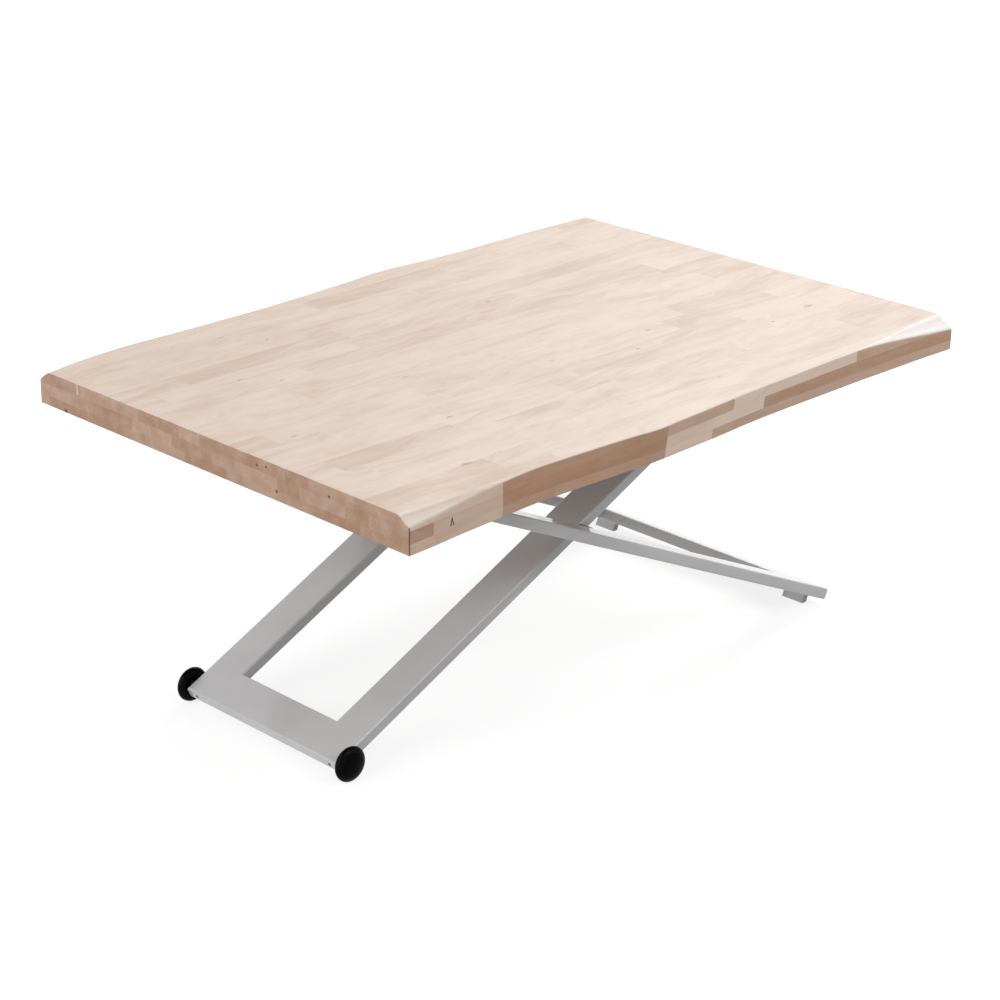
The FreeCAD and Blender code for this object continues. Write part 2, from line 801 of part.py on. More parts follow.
def strut_bracket():
    """U bracket under the top for the strut's release head, with a window for the lever."""
    inside = strut_head_width / 2 + strut_cheek_gap
    outside = inside + strut_cheek
    face = underside - plate_thickness
    half = strut_bracket_half_length
    base = box(V(strut_top_x - half, -outside, face), V(strut_top_x + half, outside, underside))
    for y in (-outside, inside):
        base = base.fuse(
            cheek(strut_top_x, strut_top_z, strut_bracket_half_cheek, strut_eye_radius, y, y + strut_cheek)
        )
    drop = (outside - lever_hinge_y) * math.tan(math.radians(lever_angle))
    half_window = lever_width / 2 + lever_window_gap
    window_low = lever_z - lever_thickness / 2 - drop - lever_window_gap
    window = box(
        V(lever_x - half_window, -outside - overrun, window_low),
        V(lever_x + half_window, outside + overrun, face),
    )
    bore = pin_y(strut_top_x, strut_top_z, -outside - overrun, outside + overrun, stub_bore())
    return drilled(base.removeSplitter(), window, bore, *plate_bores())


def stub_bore():
    """Hole in the bracket for the strut's stub pins."""
    return strut_pin_diameter + 2 * fixed_gap


def strut_stub_pins():
    """Two stub pins that carry the release head and leave its middle free, as one group."""
    low = strut_head_width / 2 - strut_stub_depth
    high = strut_head_width / 2 + strut_cheek_gap + strut_cheek + strut_cheek_overlap
    stub = pin_y(strut_top_x, strut_top_z, low, high, strut_pin_diameter)
    return Part.makeCompound([on_side(stub, side) for side in SIDES.values()])


def strut_bore():
    """Bore of the strut's barrel."""
    return strut_barrel_diameter - 2 * strut_wall


def strut_barrel_end():
    """Upper end of the barrel, clear of the piston at full stroke."""
    piston_top = strut_eye_neck + strut_plug + strut_piston_gap + strut_piston
    return piston_top + strut_stroke + strut_guide_gap + strut_guide


def strut_tube():
    """Barrel of the gas strut."""
    length = strut_barrel_end() - strut_eye_neck
    skin = pin_along(X_AXIS, V(strut_eye_neck, 0, 0), length, strut_barrel_diameter)
    return skin.cut(pin_along(X_AXIS, V(0, 0, 0), strut_barrel_end() + overrun, strut_bore()))


def strut_eye():
    """Lower eye of the strut, plugged into the barrel."""
    half = strut_eye_width / 2
    ring = pin_y(0, 0, -half, half, strut_barrel_diameter)
    neck = pin_along(X_AXIS, V(0, 0, 0), strut_eye_neck, strut_neck_diameter)
    plug = pin_along(X_AXIS, V(strut_eye_neck, 0, 0), strut_plug, strut_bore() - 2 * fixed_gap)
    eye = ring.fuse(neck).fuse(plug).removeSplitter()
    return eye.cut(pin_y(0, 0, -half - overrun, half + overrun, strut_pin_diameter + 2 * running_gap))


def strut_rod_guide():
    """Guide and seal at the barrel's upper end."""
    start = strut_barrel_end() - strut_guide
    plug = pin_along(X_AXIS, V(start, 0, 0), strut_guide, strut_bore() - 2 * fixed_gap)
    return plug.cut(pin_along(X_AXIS, V(0, 0, 0), strut_closed, strut_rod_diameter + 2 * running_gap))


def strut_piston_ring():
    """Piston on the rod's inner end."""
    start = strut_eye_neck + strut_plug + strut_piston_gap
    disc = pin_along(X_AXIS, V(start, 0, 0), strut_piston, strut_bore() - 2 * running_gap)
    return disc.cut(pin_along(X_AXIS, V(0, 0, 0), strut_closed, strut_rod_diameter + 2 * fixed_gap))


def strut_rod_end():
    """Upper end of the rod, inside the release head."""
    return strut_closed - valve_root - valve_travel - valve_end_gap


def strut_rod():
    """Polished rod of the strut."""
    start = strut_eye_neck + strut_plug + strut_piston_gap
    return pin_along(X_AXIS, V(start, 0, 0), strut_rod_end() - start, strut_rod_diameter)


def strut_head():
    """Release head on the rod: an eye for the stub pins, drilled through for the valve pin."""
    half = strut_head_width / 2
    ring = pin_y(strut_closed, 0, -half, half, strut_barrel_diameter)
    neck_start = strut_rod_end() - strut_head_neck / 2
    neck = pin_along(X_AXIS, V(neck_start, 0, 0), strut_closed - neck_start, strut_neck_diameter)
    head = ring.fuse(neck).removeSplitter()
    socket = pin_along(X_AXIS, V(0, 0, 0), strut_rod_end() + fixed_gap, strut_rod_diameter + 2 * fixed_gap)
    valve = pin_along(X_AXIS, V(0, 0, 0), strut_closed + valve_reach, valve_diameter + 2 * running_gap)
    stub_low = half - strut_stub_depth - running_gap
    stubs = [
        on_side(pin_y(strut_closed, 0, stub_low, half + overrun, strut_pin_diameter + 2 * running_gap), side)
        for side in SIDES.values()
    ]
    return drilled(head, socket, valve, *stubs)


def valve_pin():
    """Pin through the release head that opens the strut's valve when pressed."""
    start = strut_closed - valve_root
    stem = pin_along(X_AXIS, V(start, 0, 0), valve_root + valve_reach, valve_diameter)
    tip = max((e for e in stem.Edges if e.isClosed()), key=lambda e: e.CenterOfMass.x)
    return stem.makeFillet(valve_diameter / 4, [tip])


def lever_end_y():
    """Far end of the release lever, just inside the far edge of the top."""
    return top_width / 2 - lever_from_far_edge


def release_lever():
    """Flat lever under the top with a rolled eye at its hinge."""
    half = lever_width / 2
    low_z = lever_z - lever_thickness / 2
    blade = box(
        V(lever_x - half, lever_hinge_y, low_z),
        V(lever_x + half, lever_end_y(), low_z + lever_thickness),
    )
    eye = pin_along(X_AXIS, V(lever_x - half, lever_hinge_y, lever_z), lever_width, lever_eye_diameter)
    bore_start = V(lever_x - half - overrun, lever_hinge_y, lever_z)
    bore = pin_along(X_AXIS, bore_start, lever_width + 2 * overrun, lever_pin_diameter + 2 * running_gap)
    return blade.fuse(eye).removeSplitter().cut(bore)


def lever_grip():
    """Moulded grip over the lever's far end."""
    end = lever_end_y() + grip_round
    half = grip_width / 2
    low_z = lever_z - grip_thickness / 2
    body = box(
        V(lever_x - half, end - grip_length, low_z),
        V(lever_x + half, end, low_z + grip_thickness),
    )
    body = body.makeFillet(grip_round, body.Edges)
    slot_half = lever_width / 2 + fixed_gap
    slot_low = lever_z - lever_thickness / 2 - fixed_gap
    slot = box(
        V(lever_x - slot_half, end - grip_length - overrun, slot_low),
        V(lever_x + slot_half, lever_end_y() + fixed_gap, slot_low + lever_thickness + 2 * fixed_gap),
    )
    return body.cut(slot)


def lever_bracket():
    """Small U bracket under the top that carries the lever's hinge pin."""
    face = underside - plate_thickness
    inside = lever_width / 2 + cheek_gap
    base = box(
        V(lever_x - lever_bracket_half_length, lever_hinge_y - lever_bracket_half_width, face),
        V(lever_x + lever_bracket_half_length, lever_hinge_y + lever_bracket_half_width, underside),
    )
    radius = lever_knuckle_diameter / 2
    for start in (lever_x - inside - lever_cheek, lever_x + inside):
        ear_low = V(start, lever_hinge_y - radius, lever_z)
        ear = box(ear_low, V(start + lever_cheek, lever_hinge_y + radius, face))
        knuckle = pin_along(X_AXIS, V(start, lever_hinge_y, lever_z), lever_cheek, lever_knuckle_diameter)
        base = base.fuse(ear).fuse(knuckle)
    bore_start = V(lever_x - lever_bracket_half_length, lever_hinge_y, lever_z)
    bore = pin_along(X_AXIS, bore_start, 2 * lever_bracket_half_length, lever_pin_diameter + 2 * fixed_gap)
    return drilled(base.removeSplitter(), bore, *plate_bores())


def lever_pin():
    """Hinge pin of the lever."""
    reach = lever_width / 2 + cheek_gap + lever_cheek + cheek_gap
    return pin_along(X_AXIS, V(lever_x - reach, lever_hinge_y, lever_z), 2 * reach, lever_pin_diameter)


def shifted(shape, dy):
    """Piece moved across the table."""
    moved = shape.copy()
    moved.translate(V(0, dy, 0))
    return moved


def main():
    os.makedirs("parts", exist_ok=True)
    save("table_top", table_top())
    save("top_screws", top_screws())
    save("hinge_clips", hinge_clips())
    save("inner_crossbar", in_inner(inner_crossbar()))
    save("strut_brace", in_inner(strut_brace()))
    save("strut_seat", in_inner(strut_seat()))
    save("strut_lower_pin", strut_lower_pin())
    save("grub_screws", in_inner(grub_screws()))
    save("axle", in_inner(axle()))
    save("retaining_rings", in_inner(retaining_rings()))
    save("outer_crossbar", in_outer(outer_crossbar()))
    save("outer_brace", in_outer(outer_brace()))
    save("strut_bracket", strut_bracket())
    save("strut_stub_pins", strut_stub_pins())
    save("strut_barrel", in_strut(strut_tube()))
    save("strut_eye", in_strut(strut_eye()))
    save("strut_guide", in_strut(strut_rod_guide()))
    save("strut_piston", in_strut(strut_piston_ring()))
    save("strut_rod", in_strut(strut_rod()))
    save("strut_head", in_strut(strut_head()))
    save("valve_pin", in_strut(valve_pin()))
    save("release_lever", release_lever())
    save("lever_grip", lever_grip())
    save("lever_bracket", lever_bracket())
    save("lever_pin", lever_pin())
    inner_bore = hinge_pin_diameter + 2 * running_gap
    outer_bore = roller_axle_diameter + 2 * fixed_gap
    inner_lug = beam_lug(up_arm, inner_bore)
    outer_lug = shifted(beam_lug(up_arm, outer_bore), outer_half - inner_half)
    outer_lug.rotate(V(0, outer_half - beam_width / 2, 0), Z_AXIS, 180)
    for name, side in SIDES.items():
        save("rail_" + name, on_side(rail(), side))
        save("hinge_bracket_" + name, on_side(hinge_bracket(), side))
        save("hinge_pin_" + name, on_side(hinge_pin(), side))
        save("inner_beam_" + name, in_inner(on_side(inner_beam(), side)))
        save("inner_lug_" + name, in_inner(on_side(inner_lug, side)))
        save("axle_bush_" + name, in_inner(on_side(axle_bush(), side)))
        save("wheel_" + name, in_inner(on_side(wheel(), side)))
        save("wheel_cap_" + name, in_inner(on_side(wheel_cap(), side)))
        save("pivot_pin_" + name, in_inner(on_side(pivot_pin(), side)))
        save("pivot_bush_" + name, in_outer(on_side(pivot_bush(), side)))
        save("pivot_spacer_" + name, in_outer(on_side(pivot_spacer(), side)))
        save("outer_beam_" + name, in_outer(on_side(outer_beam(), side)))
        save("outer_lug_" + name, in_outer(on_side(outer_lug, side)))
        save("foot_" + name, in_outer(on_side(foot(), side)))
        save("roller_axle_" + name, in_outer(on_side(roller_axle(), side)))
        save("roller_" + name, in_outer(on_side(roller(), side)))


main()
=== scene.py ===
"""Convertible coffee dining table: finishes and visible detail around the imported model."""

import json
import math

import bmesh
import bpy
from bpy.props import FloatProperty, FloatVectorProperty, IntProperty, PointerProperty
from mathutils import Matrix, Vector, noise


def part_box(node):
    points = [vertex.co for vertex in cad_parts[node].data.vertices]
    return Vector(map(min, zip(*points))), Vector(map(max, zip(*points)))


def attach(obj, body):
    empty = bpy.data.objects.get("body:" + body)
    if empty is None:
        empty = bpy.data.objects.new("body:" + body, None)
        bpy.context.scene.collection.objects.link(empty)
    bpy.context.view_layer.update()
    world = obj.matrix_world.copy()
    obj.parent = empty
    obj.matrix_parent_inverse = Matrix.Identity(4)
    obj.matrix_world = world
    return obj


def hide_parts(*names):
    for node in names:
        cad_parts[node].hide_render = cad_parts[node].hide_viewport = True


bl_info = {
    "name": "Convertible coffee dining table",
    "version": (1, 0, 0),
    "blender": (4, 5, 0),
    "location": "3D View > Sidebar > Table",
    "description": "Dresses the table: live edge slab, painted leg frames, wheels, lift and stage",
    "category": "Object",
}

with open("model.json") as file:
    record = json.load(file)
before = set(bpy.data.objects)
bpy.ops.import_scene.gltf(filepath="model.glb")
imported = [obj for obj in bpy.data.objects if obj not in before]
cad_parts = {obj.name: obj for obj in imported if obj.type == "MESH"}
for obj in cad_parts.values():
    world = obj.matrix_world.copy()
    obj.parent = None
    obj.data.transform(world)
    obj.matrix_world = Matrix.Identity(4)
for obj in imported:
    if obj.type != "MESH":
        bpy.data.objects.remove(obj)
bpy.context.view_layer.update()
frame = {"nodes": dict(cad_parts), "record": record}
NODES = frame["nodes"]
SLOT_OF = {part["node"]: part["material_slot"] for part in frame["record"]["subparts"]}
SIDES = {"near": -1, "far": 1}

# Sharpest turn, in degrees, that a surface carries smoothly.
SMOOTH_ANGLE = 32.0

# Live edges from end to end. Each row: place along the length, near edge and far edge as shares
# of the half sizes, then lean of the near edge, near bevel and far bevel as shares of their sizes.
EDGE_SHARES = (
    (-1.000, 1.000, 0.957, 0.00, 0.74, 0.80),
    (-0.925, 0.994, 0.964, 0.00, 0.62, 0.60),
    (-0.850, 0.986, 0.966, 0.00, 0.45, 0.42),
    (-0.750, 0.978, 0.964, 0.00, 0.25, 0.25),
    (-0.570, 0.966, 0.952, 0.00, 0.08, 0.10),
    (-0.380, 0.974, 0.951, 0.20, 0.05, 0.06),
    (-0.265, 0.979, 0.953, 0.50, 0.05, 0.05),
    (-0.190, 0.982, 0.959, 0.90, 0.07, 0.05),
    (-0.115, 0.978, 0.966, 0.75, 0.05, 0.05),
    (0.035, 0.969, 0.982, 0.60, 0.05, 0.05),
    (0.185, 0.956, 0.999, 0.60, 0.05, 0.06),
    (0.400, 0.950, 0.981, 0.40, 0.06, 0.05),
    (0.620, 0.948, 0.980, 0.10, 0.12, 0.08),
    (0.800, 0.950, 0.987, 0.00, 0.48, 0.20),
    (0.915, 0.954, 0.995, 0.00, 0.80, 0.35),
    (1.000, 0.959, 1.000, 0.00, 1.00, 0.45),
)

# Staves that show in the near live edge, layer by layer from the top: place where each one
# starts as a share of the length, and how pale it is.
EDGE_STAVES = (
    ((0.00, 0.72), (0.152, 0.18), (0.418, 0.42), (0.548, 0.95), (0.797, 0.40)),
    ((0.00, 0.25), (0.037, 0.60), (0.152, 0.12), (0.418, 0.82), (0.511, 0.92), (0.610, 0.22)),
    ((0.00, 0.62), (0.152, 0.28), (0.418, 0.88), (0.511, 0.40), (0.610, 0.45)),
)

# Knots and pin holes in the end at the wheels: place across, height below the top, radius.
END_KNOTS = (
    (-0.109, 0.0115, 0.0030),
    (-0.1285, 0.0090, 0.0026),
    (-0.1500, 0.0390, 0.0034),
    (-0.2590, 0.0150, 0.0030),
    (0.3360, 0.0510, 0.0055),
)

# Larger knots in the upper face: place along, place across, radius, reach of the grain round it.
LARGE_KNOTS = (
    (-0.410, -0.326, 0.0060, 0.050),
    (0.202, -0.107, 0.0040, 0.035),
    (0.481, -0.202, 0.0060, 0.045),
    (-0.297, -0.176, 0.0034, 0.035),
    (-0.368, 0.110, 0.0034, 0.035),
    (0.122, 0.171, 0.0032, 0.035),
)

# Small knots in the upper face: place along, place across, radius.
SMALL_KNOTS = (
    (-0.226, -0.006, 0.0030),
    (0.070, -0.096, 0.0028),
    (-0.413, 0.153, 0.0028),
    (-0.016, -0.105, 0.0030),
    (-0.309, 0.327, 0.0030),
    (0.123, -0.158, 0.0028),
    (0.376, -0.215, 0.0034),
    (-0.261, 0.268, 0.0026),
    (0.113, -0.329, 0.0026),
    (-0.508, -0.083, 0.0028),
)

# Painted shade that darkens the short ends, and tone of the warmer staves.
END_PAINTED_SHADE = (0.755, 0.745, 0.735, 1)
WARM_STAVE = (1.0, 0.975, 0.94, 1)

# Screws under the top: radius of the head, its height and radius of its socket.
SCREW_HEAD = 0.0040
SCREW_HEAD_HEIGHT = 0.0024
SCREW_SOCKET = 0.0017

# Wheels: inner face to the widest plane, rise of the dome past the outer face, depth from the
# crown to the cover's seat, then radius of the seat and of the seam round the cover.
WHEEL_WAIST = 0.0076
WHEEL_DOME = 0.0016
COVER_DEPTH = 0.0076
COVER_SEAT = 0.0185
COVER_SEAM = 0.0200

# Stage: width of the camera's film in millimetres, how far it sees, half width and glow of the
# floor, and fill from all round.
FILM_WIDTH = 36.0
VIEW_REACH = 200.0
FLOOR_REACH = 40.0
FLOOR_GLOW = 0.79
FILL = 0.30

# Soft lights: point that they face, then name, place, size and power in watts of each.
LIGHT_TARGET = (0, 0, 0.4)
LIGHTS = (
    ("key", (4.1, 2.0, 4.1), 3.2, 184),
    ("left", (-4.5, 0.4, 2.0), 3.0, 112),
    ("front", (0.7, -3.2, 3.3), 2.6, 68),
)

# Range and kind of every colour that can be set.
COLOUR = {"min": 0.0, "max": 1.0, "subtype": "COLOR"}


class SlabSettings(bpy.types.PropertyGroup):
    """Sizes and colours of the wooden slab."""

    bevel_width: FloatProperty(
        name="Bevel width", description="Width of the widest bevel on a live edge",
        default=0.027, min=0.0, unit="LENGTH")
    bevel_depth: FloatProperty(
        name="Bevel depth", description="Depth of the deepest bevel on a live edge",
        default=0.018, min=0.0, unit="LENGTH")
    edge_lean: FloatProperty(
        name="Edge lean", description="How far the near live edge leans out at most",
        default=0.008, min=0.0, unit="LENGTH")
    arris: FloatProperty(
        name="Arris", description="Smallest rounding of an edge",
        default=0.0025, min=0.0005, unit="LENGTH")
    stations: IntProperty(
        name="Stations", description="Sections along the slab", default=120, min=20, max=400)
    stave_width: FloatProperty(
        name="Stave width", description="Width of one glued stave",
        default=0.0465, min=0.01, unit="LENGTH")
    stave_length: FloatProperty(
        name="Stave length", description="Usual length of one stave",
        default=0.30, min=0.05, unit="LENGTH")
    layer_height: FloatProperty(
        name="Layer height", description="Thickness of one layer of staves",
        default=0.0186, min=0.005, unit="LENGTH")
    pale_face: FloatVectorProperty(
        name="Pale stave, face", description="Palest stave of the bleached upper face",
        default=(0.79, 0.68, 0.595), **COLOUR)
    dark_face: FloatVectorProperty(
        name="Dark stave, face", description="Darkest stave of the bleached upper face",
        default=(0.63, 0.495, 0.40), **COLOUR)
    pale_edge: FloatVectorProperty(
        name="Pale stave, edge", description="Palest stave of the edges and ends",
        default=(0.96, 0.765, 0.62), **COLOUR)
    dark_edge: FloatVectorProperty(
        name="Dark stave, edge", description="Darkest stave of the edges and ends",
        default=(0.47, 0.245, 0.135), **COLOUR)
    # Pale rim on the near bevels: sapwood, made near white as painted light.
    sapwood_and_painted_light: FloatVectorProperty(
        name="Sapwood", description="Pale rim on the near live edge's bevels",
        default=(1.0, 0.955, 0.915), **COLOUR)
    face_knot: FloatVectorProperty(
        name="Face knot", description="Brown of the small knots in the upper face",
        default=(0.34, 0.225, 0.16), **COLOUR)
    knot: FloatVectorProperty(
        name="Knot", description="Knots, pin holes and splits",
        default=(0.10, 0.045, 0.025), **COLOUR)


class MetalSettings(bpy.types.PropertyGroup):
    """Colours of the painted and bare metal."""

    frame_paint: FloatVectorProperty(
        name="Frame paint", description="Satin silver paint of the leg frames",
        default=(0.615, 0.612, 0.618), **COLOUR)
    bracket_paint: FloatVectorProperty(
        name="Bracket paint", description="Paint of the rails, brackets and lever",
        default=(0.085, 0.085, 0.09), **COLOUR)
    strut_paint: FloatVectorProperty(
        name="Strut paint", description="Paint of the gas strut's barrel",
        default=(0.012, 0.012, 0.013), **COLOUR)
    steel: FloatVectorProperty(
        name="Turned steel", description="Axle, pins and rings",
        default=(0.60, 0.59, 0.575), **COLOUR)
    zinc: FloatVectorProperty(
        name="Zinc plate", description="Screws", default=(0.52, 0.53, 0.55), **COLOUR)
    grub: FloatVectorProperty(
        name="Blackened steel", description="Grub screws", default=(0.03, 0.03, 0.03), **COLOUR)
    rod: FloatVectorProperty(
        name="Polished steel", description="Rod of the gas strut",
        default=(0.72, 0.72, 0.73), **COLOUR)
    cast: FloatVectorProperty(
        name="Cast metal", description="Release head of the gas strut",
        default=(0.58, 0.58, 0.59), **COLOUR)


class MouldingSettings(bpy.types.PropertyGroup):
    """Colours of the rubber and plastic pieces."""

    tyre: FloatVectorProperty(
        name="Wheel", description="Black wheel", default=(0.0016, 0.0016, 0.0017), **COLOUR)
    foot: FloatVectorProperty(
        name="Foot", description="Grey foot block", default=(0.80, 0.80, 0.80), **COLOUR)
    roller: FloatVectorProperty(
        name="Roller", description="Pale roller", default=(0.66, 0.64, 0.58), **COLOUR)
    bush: FloatVectorProperty(
        name="Bush", description="Black bush", default=(0.02, 0.02, 0.02), **COLOUR)


class StageSettings(bpy.types.PropertyGroup):
    """Camera, floor and lights."""

    azimuth: FloatProperty(
        name="Azimuth", description="Turn of the camera about the table",
        default=math.radians(-43.6), subtype="ANGLE")
    elevation: FloatProperty(
        name="Elevation", description="Height of the camera as an angle",
        default=math.radians(22.04), subtype="ANGLE")
    distance: FloatProperty(
        name="Distance", description="From the camera to its target",
        default=4.14051, min=0.5, unit="LENGTH")
    target: FloatVectorProperty(
        name="Target", description="Point that the camera faces",
        default=(-0.09385, 0.06178, 0.255), subtype="TRANSLATION")
    lens: FloatProperty(
        name="Lens", description="Focal length in millimetres",
        default=94.44, min=10.0, unit="CAMERA")
    shift: FloatProperty(
        name="Shift", description="Sideways shift that the framing needs", default=0.0624)
    floor: FloatVectorProperty(
        name="Floor", description="Colour of the floor", default=(0.30, 0.30, 0.30), **COLOUR)


def feed(tree, target, inputs):
    """Sets or links inputs of a shader node, by name or number."""
    for key, value in inputs.items():
        if isinstance(value, bpy.types.NodeSocket):
            tree.links.new(value, target.inputs[key])
        else:
            target.inputs[key].default_value = value


def node(tree, kind, inputs, **settings):
    """New shader node with its settings and inputs."""
    made = tree.nodes.new(kind)
    for name, value in settings.items():
        setattr(made, name, value)
    feed(tree, made, inputs)
    return made


def sum_of(tree, operation, first, second=0.0, third=0.0):
    """One step of arithmetic on values."""
    inputs = {0: first, 1: second, 2: third}
    return node(tree, "ShaderNodeMath", inputs, operation=operation).outputs[0]


def weighted(tree, *terms):
    """Sum of values, each times its weight."""
    total = None
    for value, weight in terms:
        term = sum_of(tree, "MULTIPLY", value, weight)
        total = term if total is None else sum_of(tree, "ADD", total, term)
    return total


def largest(tree, first, *others):
    """Largest of some values."""
    for other in others:
        first = sum_of(tree, "MAXIMUM", first, other)
    return first


def product(tree, first, *others):
    """Product of some values."""
    for other in others:
        first = sum_of(tree, "MULTIPLY", first, other)
    return first


def gap_to(tree, vector, place):
    """Distance from a vector to a place."""
    measured = node(tree, "ShaderNodeVectorMath", {0: vector, 1: place}, operation="DISTANCE")
    return measured.outputs["Value"]


def vector_of(tree, operation, first, second):
    """One step of arithmetic on vectors."""
    return node(tree, "ShaderNodeVectorMath", {0: first, 1: second}, operation=operation).outputs[0]


def spread(tree, value, low, high, to_low=0.0, to_high=1.0):
    """Value eased from one span to another."""
    inputs = {"Value": value, 1: low, 2: high, 3: to_low, 4: to_high}
    return node(tree, "ShaderNodeMapRange", inputs, interpolation_type="SMOOTHSTEP").outputs[0]


def mixed(tree, share, first, second, blend="MIX"):
    """Mix of two colours."""
    inputs = {0: share, 6: first, 7: second}
    return node(tree, "ShaderNodeMix", inputs, data_type="RGBA", blend_type=blend).outputs[2]


def cloud(tree, vector, stretch, detail=2.0, rough=0.5):
    """Noise, stretched along the axes."""
    placed = vector_of(tree, "MULTIPLY", vector, stretch)
    inputs = {"Vector": placed, "Scale": 1.0, "Detail": detail, "Roughness": rough}
    return node(tree, "ShaderNodeTexNoise", inputs).outputs[0]


def parts_of(tree, vector):
    """X, Y and Z of a vector."""
    return node(tree, "ShaderNodeSeparateXYZ", {0: vector}).outputs


def joined(tree, x, y, z):
    """Vector of three values."""
    return node(tree, "ShaderNodeCombineXYZ", {0: x, 1: y, 2: z}).outputs[0]


def shader_group(name, inputs, outputs):
    """Empty shader node group with named sockets; returns it with its entry and exit."""
    group = bpy.data.node_groups.new(name, "ShaderNodeTree")
    vector, colour, value = "NodeSocketVector", "NodeSocketColor", "NodeSocketFloat"
    kinds = {"Vector": vector, "Section": vector, "Shift": colour}
    for way, labels in (("INPUT", inputs), ("OUTPUT", outputs)):
        for label in labels:
            group.interface.new_socket(label, in_out=way, socket_type=kinds.get(label, value))
    entry = group.nodes.new("NodeGroupInput")
    leave = group.nodes.new("NodeGroupOutput")
    return group, entry.outputs, leave


def use_group(tree, name, inputs):
    """A shader node group placed in a tree."""
    return node(tree, "ShaderNodeGroup", inputs, node_tree=bpy.data.node_groups[name]).outputs


def chance_at(tree, vector):
    """Random value and colour that belong to a place."""
    return node(tree, "ShaderNodeTexWhiteNoise", {"Vector": vector}).outputs


def line_mask(tree, share, size, width):
    """Thin line where a repeating share passes a whole number."""
    part = sum_of(tree, "FRACT", share)
    other = sum_of(tree, "SUBTRACT", 1.0, part)
    gap = product(tree, sum_of(tree, "MINIMUM", part, other), size)
    return spread(tree, gap, 0.0, width, 1.0, 0.0)


def make_stave_layout():
    """Glued staves: tint of the stave at a point, shift of its grain, place in it, glue lines."""
    layer_step, row_seed, shortest, variety, glue_width = 0.37, 3.0, 0.7, 0.6, 0.0006
    inputs = ("Vector", "Stave Width", "Stave Length", "Layer Height")
    outputs = ("Tint", "Shift", "Section", "Glue Line")
    group, given, out = shader_group("stave_layout", inputs, outputs)
    place = parts_of(group, given["Vector"])
    down = sum_of(group, "DIVIDE", place["Z"], given["Layer Height"])
    layer = sum_of(group, "FLOOR", down)
    across = sum_of(group, "DIVIDE", place["Y"], given["Stave Width"])
    across = sum_of(group, "ADD", across, product(group, layer, layer_step))
    row = sum_of(group, "FLOOR", across)
    row_chance = parts_of(group, chance_at(group, joined(group, row, layer, row_seed))["Color"])
    length_share = sum_of(group, "MULTIPLY_ADD", row_chance["Y"], variety, shortest)
    length = product(group, given["Stave Length"], length_share)
    along = sum_of(group, "DIVIDE", place["X"], length)
    along = sum_of(group, "ADD", along, product(group, row_chance["X"], 10.0))
    stave = sum_of(group, "FLOOR", along)
    chance = chance_at(group, joined(group, row, layer, stave))
    lines = line_mask(group, across, given["Stave Width"], glue_width)
    for share, size in ((along, length), (down, given["Layer Height"])):
        lines = largest(group, lines, line_mask(group, share, size, glue_width))
    section = []
    for share, size in ((across, given["Stave Width"]), (down, given["Layer Height"])):
        middle = sum_of(group, "SUBTRACT", sum_of(group, "FRACT", share), 0.5)
        section.append(product(group, middle, size))
    feed(group, out, {
        "Tint": chance["Value"], "Shift": chance["Color"], "Section": joined(group, 0.0, *section),
        "Glue Line": lines})


def make_long_grain():
    """Grain along a stave: wavy streaks, flecks and short dark pores."""
    group, given, out = shader_group("long_grain", ("Vector", "Shift"), ("Streak", "Pore"))
    shift = vector_of(group, "MULTIPLY", given["Shift"], (7.0, 5.0, 3.0))
    moved = vector_of(group, "ADD", given["Vector"], shift)
    bend = sum_of(group, "SUBTRACT", cloud(group, moved, (4.5, 12.0, 12.0), 2.0), 0.5)
    sway = product(group, bend, 0.09)
    bent = vector_of(group, "ADD", moved, joined(group, 0.0, sway, 0.0))
    coarse = cloud(group, bent, (5.5, 48.0, 48.0), 3.0, 0.55)
    fleck = cloud(group, bent, (34.0, 230.0, 230.0), 2.0)
    short = cloud(group, moved, (55.0, 900.0, 900.0), 1.0)
    streak = weighted(group, (coarse, 0.65), (fleck, 0.35))
    feed(group, out, {"Streak": streak, "Pore": spread(group, short, 0.66, 0.76)})


def make_end_grain():
    """Grain across a stave: faint arcs of growth rings and pores."""
    group, given, out = shader_group("end_grain", ("Vector", "Section", "Shift"), ("Ring", "Pore"))
    offset = vector_of(group, "SUBTRACT", given["Shift"], (0.5, 0.5, 0.5))
    heart = vector_of(group, "MULTIPLY", offset, (0.0, 0.10, 0.09))
    gap = vector_of(group, "SUBTRACT", given["Section"], heart)
    radius = node(group, "ShaderNodeVectorMath", {0: gap}, operation="LENGTH").outputs["Value"]
    drift = cloud(group, given["Vector"], (0.0, 60.0, 60.0), 2.0)
    turns = weighted(group, (radius, 1000.0), (drift, 7.0))
    ring = spread(group, sum_of(group, "SINE", turns), -1.0, 1.0)
    mottle = cloud(group, given["Vector"], (45.0, 45.0, 45.0), 3.0)
    pores = cloud(group, given["Vector"], (600.0, 600.0, 600.0), 1.0)
    rings = weighted(group, (ring, 0.07), (mottle, 0.93))
    feed(group, out, {"Ring": rings, "Pore": spread(group, pores, 0.64, 0.74)})


def make_paint_texture():
    """Sprayed paint: the height of its fine dimples, and a slow change of tone."""
    group, given, out = shader_group("paint_texture", ("Vector", "Dimple Size"), ("Height", "Tone"))
    scale = sum_of(group, "DIVIDE", 1.0, given["Dimple Size"])
    dimples = cloud(group, given["Vector"], joined(group, scale, scale, scale), 2.0)
    tone = cloud(group, given["Vector"], (9.0, 9.0, 9.0), 3.0)
    feed(group, out, {"Height": dimples, "Tone": tone})


def make_fine_scratches():
    """Fine machining lines across Y, with a slow change of tone."""
    group, given, out = shader_group("fine_scratches", ("Vector",), ("Line", "Tone"))
    line = cloud(group, given["Vector"], (90.0, 2600.0, 90.0), 2.0)
    tone = cloud(group, given["Vector"], (40.0, 60.0, 40.0), 2.0)
    feed(group, out, {"Line": line, "Tone": tone})


